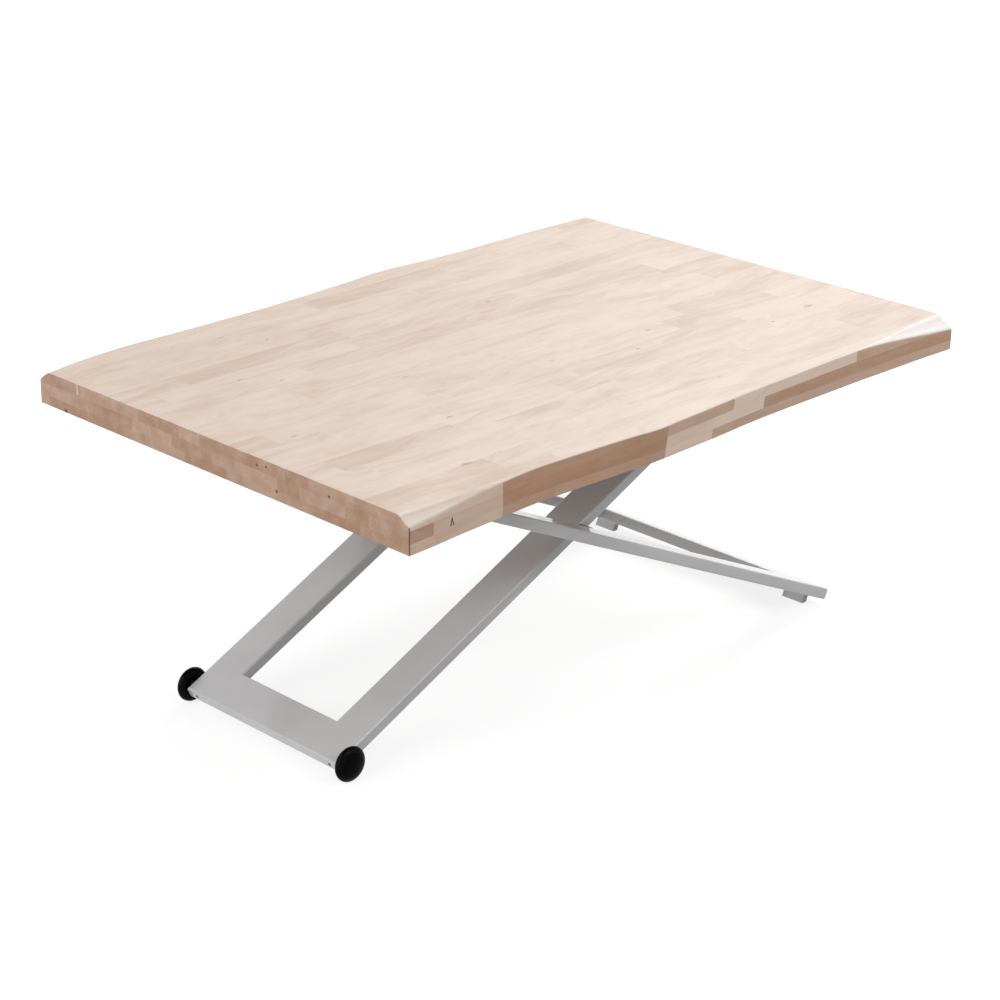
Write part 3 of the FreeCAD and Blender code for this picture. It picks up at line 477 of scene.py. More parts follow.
def make_moulded_grain():
    """Moulded rubber and plastic: fine pimples and a slow change of sheen."""
    group, given, out = shader_group("moulded_grain", ("Vector", "Grain Size"), ("Height", "Sheen"))
    scale = sum_of(group, "DIVIDE", 1.0, given["Grain Size"])
    placed = vector_of(group, "MULTIPLY", given["Vector"], joined(group, scale, scale, scale))
    cells = node(group, "ShaderNodeTexVoronoi", {"Vector": placed, "Scale": 1.0}).outputs
    sheen = cloud(group, given["Vector"], (60.0, 60.0, 60.0), 2.0)
    feed(group, out, {"Height": cells["Distance"], "Sheen": sheen})


def new_finish(name):
    """New material; returns it with its tree, its shader and its object coordinates."""
    material = bpy.data.materials.new(name)
    material.use_nodes = True
    tree = material.node_tree
    shader = tree.nodes["Principled BSDF"]
    coordinates = tree.nodes.new("ShaderNodeTexCoord").outputs
    return material, tree, shader, coordinates


def set_bump(tree, shader, height, strength, distance):
    """Relief on a shader from a height."""
    inputs = {"Strength": strength, "Distance": distance, "Height": height}
    feed(tree, shader, {"Normal": node(tree, "ShaderNodeBump", inputs).outputs[0]})


def set_tones(tree, shader, tone, colour, darkest):
    """Base colour that varies with a tone, down to a share of the full colour."""
    lower = tuple(darkest * channel for channel in colour)
    base = mixed(tree, spread(tree, tone, 0.3, 0.7), (*lower, 1), (*colour, 1))
    feed(tree, shader, {"Base Color": base})


def set_sheen(tree, shader, tone, dull, bright):
    """Roughness that varies with a tone."""
    feed(tree, shader, {"Roughness": spread(tree, tone, 0.3, 0.7, dull, bright)})


def spots(tree, vector, places):
    """Mask of soft round spots at given places and radii."""
    core = 0.45
    return largest(tree, *[
        spread(tree, gap_to(tree, vector, place), core * radius, radius, 1.0, 0.0)
        for place, radius in places])


def flow_round(tree, vector, knots):
    """Places for the grain, drawn in towards each knot so that the lines part round it."""
    across = parts_of(tree, vector)["Y"]
    squeeze, strongest = (0.4, 1.0, 1.0), 0.85
    flat = vector_of(tree, "MULTIPLY", vector, squeeze)
    shift = 0.0
    for x, y, _, reach in knots:
        gap = gap_to(tree, flat, (squeeze[0] * x, y, 0.0))
        pull = spread(tree, gap, 0.0, reach, strongest, 0.0)
        shift = sum_of(tree, "ADD", product(tree, sum_of(tree, "SUBTRACT", y, across), pull), shift)
    return vector_of(tree, "ADD", vector, joined(tree, 0.0, shift, 0.0))


def stave_ramp(tree, along, staves):
    """Tint along the near live edge, one step for each stave."""
    ramp = node(tree, "ShaderNodeValToRGB", {0: along})
    ramp.color_ramp.interpolation = "CONSTANT"
    stops = ramp.color_ramp.elements
    for number, (start, tint) in enumerate(staves):
        stop = stops[number] if number < 2 else stops.new(start)
        stop.position = start
        stop.color = (tint, tint, tint, 1.0)
    return ramp.outputs[0]


def edge_tints(tree, settings, place, length):
    """Tint of the near live edge's staves, layer by layer."""
    along = sum_of(tree, "MULTIPLY_ADD", place["X"], 1.0 / length, 0.5)
    tint, *lower = [stave_ramp(tree, along, staves) for staves in EDGE_STAVES]
    for layer, ramp in enumerate(lower, 1):
        below = sum_of(tree, "LESS_THAN", place["Z"], -layer * settings.layer_height)
        tint = mixed(tree, below, tint, ramp)
    return tint


def split_mask(tree, place):
    """Drying split in the near edge, shaped like two legs that meet at the top."""
    top, foot, middle, reach, rim = -0.0225, -0.0350, -0.5170, 0.0026, -0.39
    core, fade = 0.0006, 0.0016
    drop = spread(tree, place["Z"], top, foot)
    below = sum_of(tree, "LESS_THAN", place["Z"], top)
    above = sum_of(tree, "GREATER_THAN", place["Z"], foot)
    near = sum_of(tree, "LESS_THAN", place["Y"], rim)
    offset = sum_of(tree, "ABSOLUTE", sum_of(tree, "SUBTRACT", place["X"], middle))
    leg = sum_of(tree, "SUBTRACT", offset, product(tree, drop, reach))
    line = spread(tree, sum_of(tree, "ABSOLUTE", leg), core, fade, 1.0, 0.0)
    return product(tree, line, below, above, near)


def speck_mask(tree, depth):
    """Ragged knots in the upper face, drawn out along the grain."""
    stretch, ragged_by = (0.5, 1.0, 1.0), 0.02
    wander = sum_of(tree, "SUBTRACT", cloud(tree, depth, (90.0, 260.0, 90.0), 2.0), 0.5)
    shift = joined(tree, product(tree, wander, ragged_by), 0.0, 0.0)
    ragged = vector_of(tree, "MULTIPLY", vector_of(tree, "ADD", depth, shift), stretch)
    knots = LARGE_KNOTS + SMALL_KNOTS
    return spots(tree, ragged, [((stretch[0] * x, y, 0.0), radius) for x, y, radius, *_ in knots])


def corner_mask(tree, place, low):
    """Dark line down the corner between the near edge and the end at the wheels."""
    core_along, core_across, fade = 0.0012, 0.0014, 0.0026
    along = spread(tree, place["X"], low.x + core_along, low.x + fade, 1.0, 0.0)
    across = spread(tree, place["Y"], low.y + core_across, low.y + fade, 1.0, 0.0)
    return product(tree, along, across)


def nick_mask(tree, place):
    """Pale nick across the arris of the end at the wheels."""
    middle, floor, core, fade = 0.305, -0.017, 0.0008, 0.0020
    offset = sum_of(tree, "ABSOLUTE", sum_of(tree, "SUBTRACT", place["Y"], middle))
    line = spread(tree, offset, core, fade, 1.0, 0.0)
    above = sum_of(tree, "GREATER_THAN", place["Z"], floor)
    return product(tree, line, above, sum_of(tree, "LESS_THAN", place["X"], 0.0))


def make_slab_wood(settings):
    """Bleached glued hardwood: pale upper face, browner edges and ends with painted shade on the
    ends, sapwood with painted light on the near bevels, knots and a split.
    """
    _, tree, shader, coordinates = new_finish("finish_wood")
    low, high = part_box("table_top")
    skin = 0.0001
    depth = vector_of(tree, "SUBTRACT", coordinates["Object"], (0.0, 0.0, high.z - skin))
    place = parts_of(tree, depth)
    facing = parts_of(tree, coordinates["Normal"])
    towards_near = product(tree, facing["Y"], -1.0)
    up = spread(tree, facing["Z"], 0.05, 0.6)
    down = spread(tree, product(tree, facing["Z"], -1.0), 0.5, 0.9)
    ended = spread(tree, sum_of(tree, "ABSOLUTE", facing["X"]), 0.6, 0.9)
    near = spread(tree, towards_near, 0.5, 0.85)
    layout = use_group(tree, "stave_layout", {
        "Vector": depth, "Stave Width": settings.stave_width, "Stave Length": settings.stave_length,
        "Layer Height": settings.layer_height})
    flow = flow_round(tree, depth, LARGE_KNOTS)
    long_grain = use_group(tree, "long_grain", {"Vector": flow, "Shift": layout["Shift"]})
    end_grain = use_group(tree, "end_grain", {
        "Vector": depth, "Section": layout["Section"], "Shift": layout["Shift"]})
    grain = mixed(tree, ended, long_grain["Streak"], end_grain["Ring"])
    pore = mixed(tree, ended, long_grain["Pore"], end_grain["Pore"])

    # Upper face: pale staves, some warmer, with sapwood and painted light on the near bevels: the
    # pale rim grows paler towards the right end, where the light falls brightest.
    mottle = cloud(tree, depth, (7.0, 17.0, 17.0), 3.0)
    face_tint = spread(tree, layout["Tint"], 0.0, 0.45, 0.0, 0.19)
    face_tone = weighted(tree, (face_tint, 1.0), (grain, 1.0), (mottle, 0.55))
    paleness = spread(tree, face_tone, 0.58, 1.14)
    face = mixed(tree, paleness, (*settings.dark_face, 1), (*settings.pale_face, 1))
    warmth = product(tree, parts_of(tree, layout["Shift"])["Y"], 0.7)
    face = mixed(tree, warmth, face, WARM_STAVE, "MULTIPLY")
    # Painted light: the pale rim on the near bevels strengthens towards the right end, where the
    # light falls brightest.
    reach = spread(tree, place["X"], -0.6, 0.5, 0.0, 0.95)
    sap_and_painted_light = product(tree, spread(tree, towards_near, 0.12, 0.4), up, reach)
    face = mixed(tree, sap_and_painted_light, face, (*settings.sapwood_and_painted_light, 1))

    # Edges and ends: browner staves, with painted shade on the ends.
    calm_tint = spread(tree, layout["Tint"], 0.0, 1.0, 0.15, 0.39)
    tint = mixed(tree, ended, layout["Tint"], calm_tint)
    tint = mixed(tree, near, tint, edge_tints(tree, settings, place, high.x - low.x))
    figure = product(tree, grain, spread(tree, ended, 0.0, 1.0, 0.36, 0.46))
    edge_tone = weighted(tree, (tint, 0.70), (figure, 1.0))
    paleness = spread(tree, edge_tone, 0.10, 1.0)
    edge = mixed(tree, paleness, (*settings.dark_edge, 1), (*settings.pale_edge, 1))
    # Painted shade: the ends take a darker copy of the edge colour.
    edge = mixed(tree, ended, edge, END_PAINTED_SHADE, "MULTIPLY")

    # Both together, with glue lines, pores, knots, split and nick.
    colour = mixed(tree, largest(tree, up, product(tree, down, 0.4)), edge, face)
    shade = product(tree, largest(tree, layout["Glue Line"], pore), 0.16)
    colour = mixed(tree, shade, colour, (*settings.dark_edge, 1))
    specks = product(tree, speck_mask(tree, depth), 0.6)
    colour = mixed(tree, specks, colour, (*settings.face_knot, 1))
    nick = product(tree, nick_mask(tree, place), ended, 0.8)
    colour = mixed(tree, nick, colour, (*settings.pale_face, 1))
    holes = spots(tree, depth, [((low.x, y, -drop), radius) for y, drop, radius in END_KNOTS])
    corner = product(tree, corner_mask(tree, place, low), 0.8)
    dark = largest(tree, holes, split_mask(tree, place), corner)
    colour = mixed(tree, dark, colour, (*settings.knot, 1))

    rough = spread(tree, grain, 0.2, 0.9, 0.58, 0.46)
    feed(tree, shader, {"Base Color": colour, "Specular IOR Level": 0.45, "Roughness": rough})
    relief = sum_of(tree, "SUBTRACT", grain, product(tree, largest(tree, pore, dark), 0.8))
    set_bump(tree, shader, relief, 0.22, 0.0006)


def make_paint(name, colour, rough, dimple, coat=0.0):
    """Sprayed paint on metal."""
    _, tree, shader, coordinates = new_finish(name)
    inputs = {"Vector": coordinates["Object"], "Dimple Size": dimple}
    texture = use_group(tree, "paint_texture", inputs)
    set_tones(tree, shader, texture["Tone"], colour, 0.92)
    set_sheen(tree, shader, texture["Tone"], rough + 0.04, rough - 0.03)
    feed(tree, shader, {"Coat Weight": coat, "Coat Roughness": 0.10})
    set_bump(tree, shader, texture["Height"], 0.12, 0.0002)


def make_bare_metal(name, colour, rough, relief=0.15):
    """Turned or plated metal with fine machining lines."""
    _, tree, shader, coordinates = new_finish(name)
    lines = use_group(tree, "fine_scratches", {"Vector": coordinates["Object"]})
    set_tones(tree, shader, lines["Tone"], colour, 0.82)
    set_sheen(tree, shader, lines["Line"], rough + 0.08, rough - 0.04)
    feed(tree, shader, {"Metallic": 1.0})
    set_bump(tree, shader, lines["Line"], relief, 0.0001)


def make_moulding(name, colour, rough, grain, relief=0.2, gloss=0.5):
    """Moulded rubber or plastic."""
    _, tree, shader, coordinates = new_finish(name)
    feed(tree, shader, {"Specular IOR Level": gloss})
    inputs = {"Vector": coordinates["Object"], "Grain Size": grain}
    texture = use_group(tree, "moulded_grain", inputs)
    set_tones(tree, shader, texture["Sheen"], colour, 0.85)
    set_sheen(tree, shader, texture["Sheen"], rough + 0.06, rough - 0.05)
    set_bump(tree, shader, texture["Height"], relief, 0.0001)


def finish_for(slot):
    """Material already made for a slot of the record."""
    return bpy.data.materials["finish_" + slot]


def dress(*slots):
    """Puts each slot's material on the nodes that use it."""
    for name, slot in SLOT_OF.items():
        if slot in slots:
            for place in NODES[name].material_slots:
                place.material = finish_for(slot)


def add_object(name, data):
    """New object in the scene."""
    made = bpy.data.objects.new(name, data)
    bpy.context.scene.collection.objects.link(made)
    return made


def add_mesh(name, shape, material):
    """New object in the scene from a bmesh, with one material."""
    mesh = bpy.data.meshes.new(name)
    shape.to_mesh(mesh)
    shape.free()
    mesh.materials.append(material)
    return add_object(name, mesh)


def new_piece(name, shape, slot, body, *replaced):
    """Finished object from a bmesh, with its slot's material, riding on a body."""
    for edge in shape.edges:
        edge.smooth = edge.calc_face_angle(0.0) < math.radians(SMOOTH_ANGLE)
    for face in shape.faces:
        face.smooth = True
    piece = add_mesh(name, shape, finish_for(slot))
    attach(piece, body)
    if replaced:
        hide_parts(*replaced)


def edge_at(share):
    """Row of the live edges at one place along the slab, smooth through every given row."""
    rows = EDGE_SHARES
    index = max(i for i, row in enumerate(rows[:-1]) if row[0] <= share or i == 0)
    left, right = rows[index], rows[index + 1]
    before, after = rows[max(index - 1, 0)], rows[min(index + 2, len(rows) - 1)]
    span = right[0] - left[0]
    t = (share - left[0]) / span
    result = []
    for column in range(1, len(left)):
        slope_left = (right[column] - before[column]) / (right[0] - before[0]) * span
        slope_right = (after[column] - left[column]) / (after[0] - left[0]) * span
        rise = right[column] - left[column]
        curve = 3 * rise - 2 * slope_left - slope_right
        bend = slope_left + slope_right - 2 * rise
        result.append(left[column] + t * (slope_left + t * (curve + t * bend)))
    return result


def edge_outline(settings, edge_y, lean, bevel, low, high, side):
    """Outline of one live edge at a station, from the underside up to the upper face."""
    wall_steps, bevel_steps, inset = 6, 3, 0.014
    near_sag, round_bevel, bevel_ease = 0.4, 0.1, 0.4
    width = max(bevel * settings.bevel_width, settings.arris)
    depth = max(bevel * settings.bevel_depth, settings.arris)
    crest_y = edge_y + side * lean * settings.edge_lean
    crest_z = high - depth
    points = []
    for step in range(wall_steps):
        share = step / (wall_steps - 1)
        points.append((edge_y + (crest_y - edge_y) * share, low + (crest_z - low) * share))
    sag = near_sag if side < 0 else 0.0
    cut = min(max((bevel - round_bevel) / bevel_ease, 0.0), 1.0)
    for step in range(1, bevel_steps + 1):
        share = step / bevel_steps
        turn = math.pi / 2 * share
        inward = cut * share + (1 - cut) * (1 - math.cos(turn))
        rise = cut * share * (1 - sag + sag * share) + (1 - cut) * math.sin(turn)
        points.append((crest_y - side * width * inward, crest_z + depth * rise))
    points.append((crest_y - side * (width + inset), high))
    return softened(softened(points))


def softened(points):
    """Line with each of its corners cut."""
    result = [points[0]]
    for start, end in zip(points, points[1:]):
        for share in (0.25, 0.75):
            result.append(tuple(p + share * (q - p) for p, q in zip(start, end)))
    result.append(points[-1])
    return result


def slab_section(settings, share):
    """Outline across the slab at one place along its length."""
    low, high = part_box("table_top")
    half_x, half_y = (high.x - low.x) / 2, (high.y - low.y) / 2
    near, far, lean, near_bevel, far_bevel = edge_at(share)
    x, ripple_depth, ripple_scale = share * half_x, 0.0007, Vector((9, 3, 30))
    near_points = edge_outline(settings, -near * half_y, lean, near_bevel, low.z, high.z, -1)
    far_points = edge_outline(settings, far * half_y, 0.0, far_bevel, low.z, high.z, 1)
    ring = []
    for points, side in ((near_points, -1), (reversed(far_points), 1)):
        for y, z in points:
            ripple = ripple_depth * (noise.noise(ripple_scale * Vector((x, side, z))) - 1)
            ring.append(Vector((x, y + side * (ripple if z < high.z else 0.0), z)))
    return ring


def build_slab(settings):
    """Slab with live edges, drawn out from one end section to the other."""
    shape = bmesh.new()
    stations = [2 * i / settings.stations - 1 for i in range(settings.stations + 1)]
    ring = [shape.verts.new(point) for point in slab_section(settings, stations[0])]
    shape.faces.new(ring)
    for share in stations[1:]:
        order = {tuple(vert.co): number for number, vert in enumerate(ring)}
        edges = [shape.edges.get(pair) for pair in zip(ring, ring[1:] + ring[:1])]
        drawn = bmesh.ops.extrude_edge_only(shape, edges=edges)["geom"]
        ring = [item for item in drawn if isinstance(item, bmesh.types.BMVert)]
        ring.sort(key=lambda vert: order[tuple(vert.co)])
        for vert, point in zip(ring, slab_section(settings, share)):
            vert.co = point
    shape.faces.new(ring)
    bmesh.ops.recalc_face_normals(shape, faces=shape.faces)
    low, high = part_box("table_top")
    tight, rim_round, sharp = 0.0001, 0.0011, 1.0
    rims = [
        edge for edge in shape.edges
        if all(abs(abs(v.co.x) - high.x) < tight for v in edge.verts)
        or (all(v.co.z < low.z + tight for v in edge.verts) and edge.calc_face_angle(0.0) > sharp)
    ]
    bmesh.ops.bevel(
        shape, geom=rims, offset=rim_round, affect="EDGES", segments=3, profile=0.5, material=-1,
        clamp_overlap=True)
    return shape


def spun(profile, centre, steps=72):
    """Solid of revolution about a line along Y, from (radius, y) points."""
    shape = bmesh.new()
    verts = [shape.verts.new((centre.x + radius, y, centre.z)) for radius, y in profile]
    edges = [shape.edges.new(pair) for pair in zip(verts, verts[1:])]
    bmesh.ops.spin(
        shape, geom=verts + edges, cent=(centre.x, 0, centre.z), axis=(0, 1, 0), angle=math.tau,
        steps=steps, use_merge=True, use_duplicate=False)
    bmesh.ops.remove_doubles(shape, verts=shape.verts, dist=0.000001)
    bmesh.ops.recalc_face_normals(shape, faces=shape.faces)
    return shape


def wheel_round(middle, crown, share):
    """Distance along the axle of a wheel's outer round at a share of its radius."""
    return middle + (crown - middle) * math.sqrt(max(0.0, 1.0 - share**2))


def wheel_measures(side):
    """Centre, radius, inner face, widest plane and crown of a wheel."""
    low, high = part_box("wheel_near" if side < 0 else "wheel_far")
    inner = min(abs(low.y), abs(high.y))
    outer = max(abs(low.y), abs(high.y))
    return (low + high) / 2, (high.z - low.z) / 2, inner, inner + WHEEL_WAIST, outer + WHEEL_DOME


def wheel_tyre(side):
    """Black wheel: hub, dished inner face and a full round that runs on into the cover."""
    centre, radius, inner, middle, crown = wheel_measures(side)
    bore, hub, root, dish, inner_steps, outer_steps = 0.0051, 0.0085, 0.0195, 0.003, 10, 8
    groove_depth, groove_width = 0.0003, 0.0002
    lip = wheel_round(middle, crown, COVER_SEAM / radius) - groove_depth
    recess = crown - COVER_DEPTH
    profile = [(bore, recess), (bore, inner), (hub, inner)]
    profile += [(hub + dish, inner + dish), (root - dish, inner + dish)]
    for step in range(inner_steps + 1):
        turn = math.pi / 2 * step / inner_steps
        across, along = (radius - root) * math.sin(turn), (middle - inner) * math.cos(turn)
        profile.append((root + across, middle - along))
    for step in range(1, outer_steps + 1):
        share = math.cos(math.acos(COVER_SEAM / radius) * step / outer_steps)
        profile.append((radius * share, wheel_round(middle, crown, share)))
    profile += [(COVER_SEAM - groove_width, lip), (COVER_SEAT, lip)]
    profile += [(COVER_SEAT, recess), (bore, recess)]
    return spun([(r, side * y) for r, y in profile], centre)


def wheel_cover(side):
    """Domed cover of a wheel, flush with its round and hollow over the axle's end."""
    centre, radius, _, middle, crown = wheel_measures(side)
    hollow, wall, steps = 0.0110, 0.0030, 12
    play, seam_width, rim_depth = 0.0002, 0.0003, 0.0002
    seat, rim = COVER_SEAT - play, COVER_SEAM - seam_width
    floor, ceiling = crown - COVER_DEPTH, crown - wall
    lip = wheel_round(middle, crown, rim / radius) - rim_depth
    profile = [(0.0, ceiling), (hollow, ceiling), (hollow, floor), (seat, floor), (seat, lip)]
    for step in range(steps + 1):
        share = (1 - step / steps) * rim / radius
        profile.append((share * radius, wheel_round(middle, crown, share)))
    return spun([(r, side * y) for r, y in profile], centre)


def hexagon(radius, turn):
    """Distance from the middle to the side of a hexagon in one direction."""
    sixth = math.tau / 6
    return radius * math.cos(sixth / 2) / math.cos((turn % sixth) - sixth / 2)


def add_screw(shape, x, y, face):
    """Pan head screw that points up, with a hexagon socket in its head."""
    sides, socket_depth, shank = 24, 0.0014, 0.0019
    crown = face - SCREW_HEAD_HEIGHT
    rings = [
        (lambda a: hexagon(SCREW_SOCKET, a), crown + socket_depth),
        (lambda a: hexagon(SCREW_SOCKET, a), crown),
        (lambda a: SCREW_SOCKET * 1.25, crown),
        (lambda a: SCREW_HEAD * 0.72, crown),
        (lambda a: SCREW_HEAD * 0.90, face - SCREW_HEAD_HEIGHT * 0.82),
        (lambda a: SCREW_HEAD, face - SCREW_HEAD_HEIGHT * 0.45),
        (lambda a: SCREW_HEAD, face),
        (lambda a: shank, face),
    ]
    turns = [math.tau * i / sides for i in range(sides)]
    radius, height = rings[0]
    places = [(x + radius(a) * math.cos(a), y + radius(a) * math.sin(a), height) for a in turns]
    ring = [shape.verts.new(place) for place in places]
    shape.faces.new(ring)
    edges = [shape.edges.get(pair) for pair in zip(ring, ring[1:] + ring[:1])]
    for radius, height in rings[1:]:
        drawn = bmesh.ops.extrude_edge_only(shape, edges=edges)["geom"]
        ring = [item for item in drawn if isinstance(item, bmesh.types.BMVert)]
        edges = [item for item in drawn if isinstance(item, bmesh.types.BMEdge)]
        for vert in ring:
            turn = math.atan2(vert.co.y - y, vert.co.x - x)
            vert.co = (x + radius(turn) * math.cos(turn), y + radius(turn) * math.sin(turn), height)
    bmesh.ops.holes_fill(shape, edges=edges, sides=0)


def screw_places():
    """Middle and seat of every screw under the top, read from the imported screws."""
    same_screw = 3 * SCREW_HEAD
    screws = []
    for vert in NODES["top_screws"].data.vertices:
        points = next((p for p in screws if (p[0].xy - vert.co.xy).length < same_screw), None)
        if points is None:
            points = []
            screws.append(points)
        points.append(vert.co.copy())
    result = []
    for points in screws:
        xs, ys = [p.x for p in points], [p.y for p in points]
        face = min(p.z for p in points) + SCREW_HEAD_HEIGHT
        result.append(((min(xs) + max(xs)) / 2, (min(ys) + max(ys)) / 2, face))
    return result


class BuildSlab(bpy.types.Operator):
    """Live edge slab of glued staves"""

    bl_idname = "coffee_table.build_slab"
    bl_label = "Slab"

    def execute(self, context):
        settings = context.scene.table_slab
        make_stave_layout()
        make_long_grain()
        make_end_grain()
        make_slab_wood(settings)
        new_piece("table_slab", build_slab(settings), "wood", "top", "table_top")
        return {"FINISHED"}


class PaintFrames(bpy.types.Operator):
    """Satin silver paint on both leg frames, and their bare steel pins and spacers"""

    bl_idname = "coffee_table.paint_frames"
    bl_label = "Leg frames"

    def execute(self, context):
        metal = context.scene.table_metal
        make_paint_texture()
        make_fine_scratches()
        make_paint("finish_frame", metal.frame_paint, rough=0.38, dimple=0.0009, coat=0.8)
        make_bare_metal("finish_steel", metal.steel, rough=0.26)
        make_bare_metal("finish_spacer", metal.steel, rough=0.18)
        dress("frame", "steel", "spacer")
        return {"FINISHED"}


class BuildWheels(bpy.types.Operator):
    """Black wheels with domed covers"""

    bl_idname = "coffee_table.build_wheels"
    bl_label = "Wheels"

    def execute(self, context):
        moulding = context.scene.table_moulding
        make_moulded_grain()
        for finish, gloss in (("finish_tread", 0.05), ("finish_cap", 0.03)):
            make_moulding(finish, moulding.tyre, rough=0.32, grain=0.0007, relief=0.05, gloss=gloss)
        for name, side in SIDES.items():
            body = "wheel_" + name
            new_piece("wheel_tyre_" + name, wheel_tyre(side), "tread", body, "wheel_" + name)
            new_piece("wheel_cover_" + name, wheel_cover(side), "cap", body, "wheel_cap_" + name)
        return {"FINISHED"}


class FinishMouldings(bpy.types.Operator):
    """Grey foot blocks, pale rollers and black bushes"""

    bl_idname = "coffee_table.finish_mouldings"
    bl_label = "Feet, rollers and bushes"

    def execute(self, context):
        moulding = context.scene.table_moulding
        make_moulding("finish_foot", moulding.foot, rough=0.50, grain=0.0009)
        make_moulding("finish_roller", moulding.roller, rough=0.42, grain=0.0012, relief=0.1)
        make_moulding("finish_bush", moulding.bush, rough=0.45, grain=0.0009)
        make_moulding("finish_strut_inner", moulding.bush, rough=0.45, grain=0.0009)
        dress("foot", "roller", "bush", "strut_inner")
        return {"FINISHED"}


class FinishFittings(bpy.types.Operator):
    """Painted rails and brackets, and zinc plated screws with socket heads"""

    bl_idname = "coffee_table.finish_fittings"
    bl_label = "Rails, brackets and screws"

    def execute(self, context):
        metal = context.scene.table_metal
        make_paint("finish_bracket", metal.bracket_paint, rough=0.42, dimple=0.0012)
        make_bare_metal("finish_screw", metal.zinc, rough=0.34)
        make_bare_metal("finish_grub", metal.grub, rough=0.45)
        dress("bracket", "screw")
        for place in NODES["grub_screws"].material_slots:
            place.material = finish_for("grub")
        shape = bmesh.new()
        for x, y, face in screw_places():
            add_screw(shape, x, y, face)
        bmesh.ops.recalc_face_normals(shape, faces=shape.faces)
        new_piece("top_screw_heads", shape, "screw", "top", "top_screws")
        return {"FINISHED"}


class FinishStrut(bpy.types.Operator):
    """Black gas strut with a polished rod and a cast release head"""

    bl_idname = "coffee_table.finish_strut"
    bl_label = "Gas strut"

    def execute(self, context):
        metal = context.scene.table_metal
        make_paint("finish_strut", metal.strut_paint, rough=0.30, dimple=0.0015, coat=0.3)
        make_bare_metal("finish_strut_rod", metal.rod, rough=0.10, relief=0.04)
        make_bare_metal("finish_strut_head", metal.cast, rough=0.40, relief=0.25)
        dress("strut", "strut_rod", "strut_head")
        return {"FINISHED"}


class FinishLever(bpy.types.Operator):
    """Painted release lever with a rubber grip"""

    bl_idname = "coffee_table.finish_lever"
    bl_label = "Release lever"

    def execute(self, context):
        metal, moulding = context.scene.table_metal, context.scene.table_moulding
        make_paint("finish_lever", metal.bracket_paint, rough=0.40, dimple=0.0012)
        make_moulding("finish_grip", moulding.bush, rough=0.60, grain=0.0011, relief=0.35)
        dress("lever", "grip")
        return {"FINISHED"}


def add_light(name, place, target, size, power):
    """Square soft light that faces a point."""
    lamp = bpy.data.lights.new(name, "AREA")
    lamp.shape = "SQUARE"
    lamp.size = size
    lamp.energy = power
    light = add_object(name, lamp)
    light.location = place
    light.rotation_euler = (Vector(target) - Vector(place)).to_track_quat("-Z", "Y").to_euler()


def camera_share(tree):
    """1 for what the camera, a reflection or clear material sees, and 0 for light on the object."""
    path = tree.nodes.new("ShaderNodeLightPath").outputs
    return largest(tree, path["Is Camera Ray"], path["Is Glossy Ray"], path["Is Transmission Ray"])


def place_camera(stage):
    """Camera at its angle and distance from its target."""
    lens = bpy.data.cameras.new("camera")
    lens.lens = stage.lens
    lens.sensor_width = FILM_WIDTH
    lens.shift_x = stage.shift
    lens.clip_end = VIEW_REACH
    camera = add_object("camera", lens)
    tilt = Matrix.Rotation(math.pi / 2 - stage.elevation, 4, "X")
    turn = Matrix.Rotation(stage.azimuth, 4, "Z") @ tilt
    back = Matrix.Translation((0, 0, stage.distance))
    camera.matrix_world = Matrix.Translation(stage.target) @ turn @ back
    bpy.context.scene.camera = camera


def lay_floor(stage):
    """Floor that the camera sees as white, with a soft shadow."""
    material, tree, shader, _ = new_finish("floor")
    glow = product(tree, camera_share(tree), FLOOR_GLOW)
    feed(tree, shader, {
        "Base Color": (*stage.floor, 1), "Roughness": 0.9, "Emission Color": (1, 1, 1, 1),
        "Emission Strength": glow})
    shape = bmesh.new()
    bmesh.ops.create_grid(shape, x_segments=1, y_segments=1, size=FLOOR_REACH)
    floor = add_mesh("floor", shape, material)


def hang_backdrop():
    """White all round for the camera, and a weaker fill on the table."""
    world = bpy.data.worlds.new("studio")
    world.use_nodes = True
    bpy.context.scene.world = world
    tree = world.node_tree
    strength = sum_of(tree, "MULTIPLY_ADD", camera_share(tree), 1.0 - FILL, FILL)
    feed(tree, tree.nodes["Background"], {"Color": (1, 1, 1, 1), "Strength": strength})


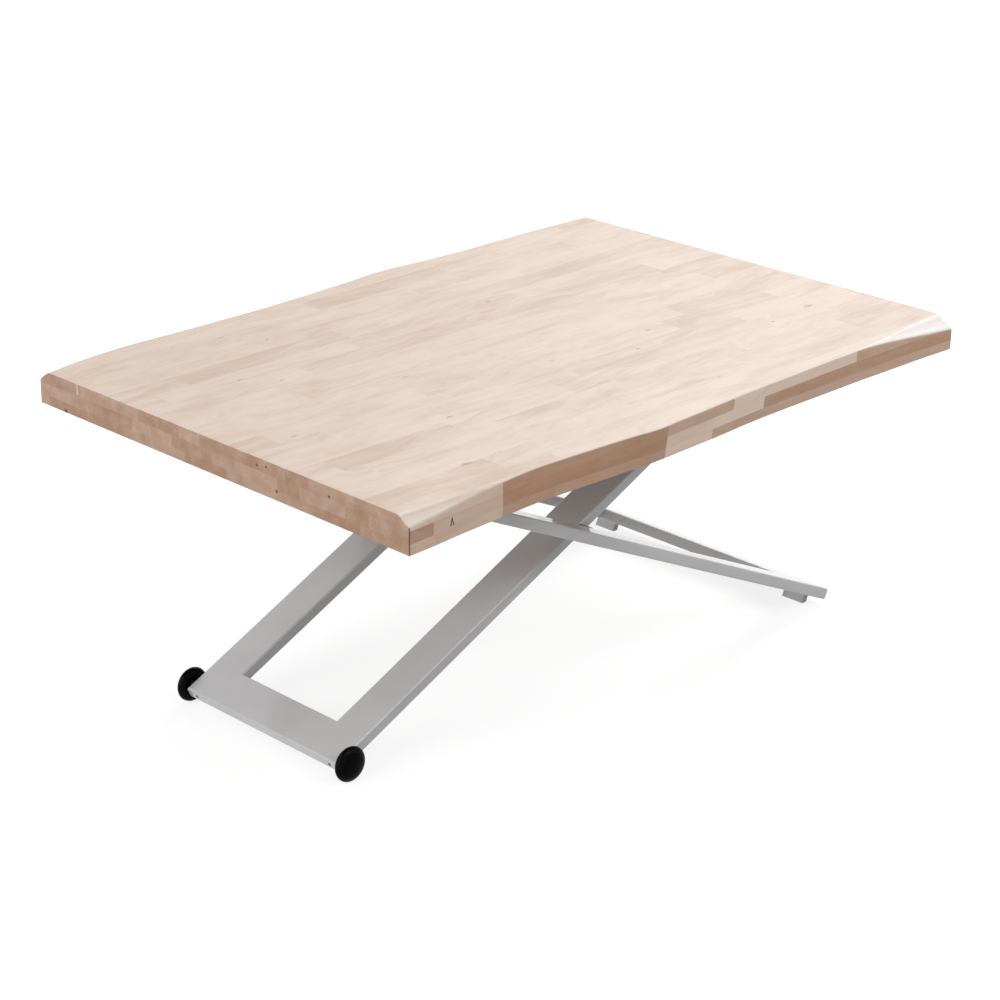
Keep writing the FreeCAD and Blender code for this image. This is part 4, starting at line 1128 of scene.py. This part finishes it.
class SetStage(bpy.types.Operator):
    """Camera at the photograph's angle, pale floor and soft studio light"""

    bl_idname = "coffee_table.set_stage"
    bl_label = "Stage"

    def execute(self, context):
        stage = context.scene.table_stage
        context.scene.view_settings.view_transform = "Standard"
        place_camera(stage)
        lay_floor(stage)
        hang_backdrop()
        for name, place, size, power in LIGHTS:
            add_light(name, place, LIGHT_TARGET, size, power)
        return {"FINISHED"}


PIECE_OPERATORS = (
    BuildSlab, PaintFrames, BuildWheels, FinishMouldings, FinishFittings, FinishStrut, FinishLever,
    SetStage)


class TablePanel(bpy.types.Panel):
    """Pieces of the table and the stage"""

    bl_idname = "VIEW3D_PT_coffee_table"
    bl_label = "Coffee dining table"
    bl_space_type = "VIEW_3D"
    bl_region_type = "UI"
    bl_category = "Table"

    def draw(self, context):
        for operator in PIECE_OPERATORS:
            self.layout.operator(operator.bl_idname)
        for group in SETTINGS:
            self.layout.separator()
            for name in SETTINGS[group].__annotations__:
                self.layout.prop(getattr(context.scene, group), name)


SETTINGS = {
    "table_slab": SlabSettings,
    "table_metal": MetalSettings,
    "table_moulding": MouldingSettings,
    "table_stage": StageSettings,
}


def register():
    """Adds the settings, the operators and the panel."""
    for group, kind in SETTINGS.items():
        bpy.utils.register_class(kind)
        setattr(bpy.types.Scene, group, PointerProperty(type=kind))
    for operator in PIECE_OPERATORS:
        bpy.utils.register_class(operator)
    bpy.utils.register_class(TablePanel)


def unregister():
    """Takes the settings, the operators and the panel away again."""
    bpy.utils.unregister_class(TablePanel)
    for operator in reversed(PIECE_OPERATORS):
        bpy.utils.unregister_class(operator)
    for group, kind in SETTINGS.items():
        delattr(bpy.types.Scene, group)
        bpy.utils.unregister_class(kind)


def main():
    """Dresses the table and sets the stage."""
    register()
    bpy.ops.coffee_table.build_slab()
    bpy.ops.coffee_table.paint_frames()
    bpy.ops.coffee_table.build_wheels()
    bpy.ops.coffee_table.finish_mouldings()
    bpy.ops.coffee_table.finish_fittings()
    bpy.ops.coffee_table.finish_strut()
    bpy.ops.coffee_table.finish_lever()
    bpy.ops.coffee_table.set_stage()


if __name__ == "__main__":
    main()
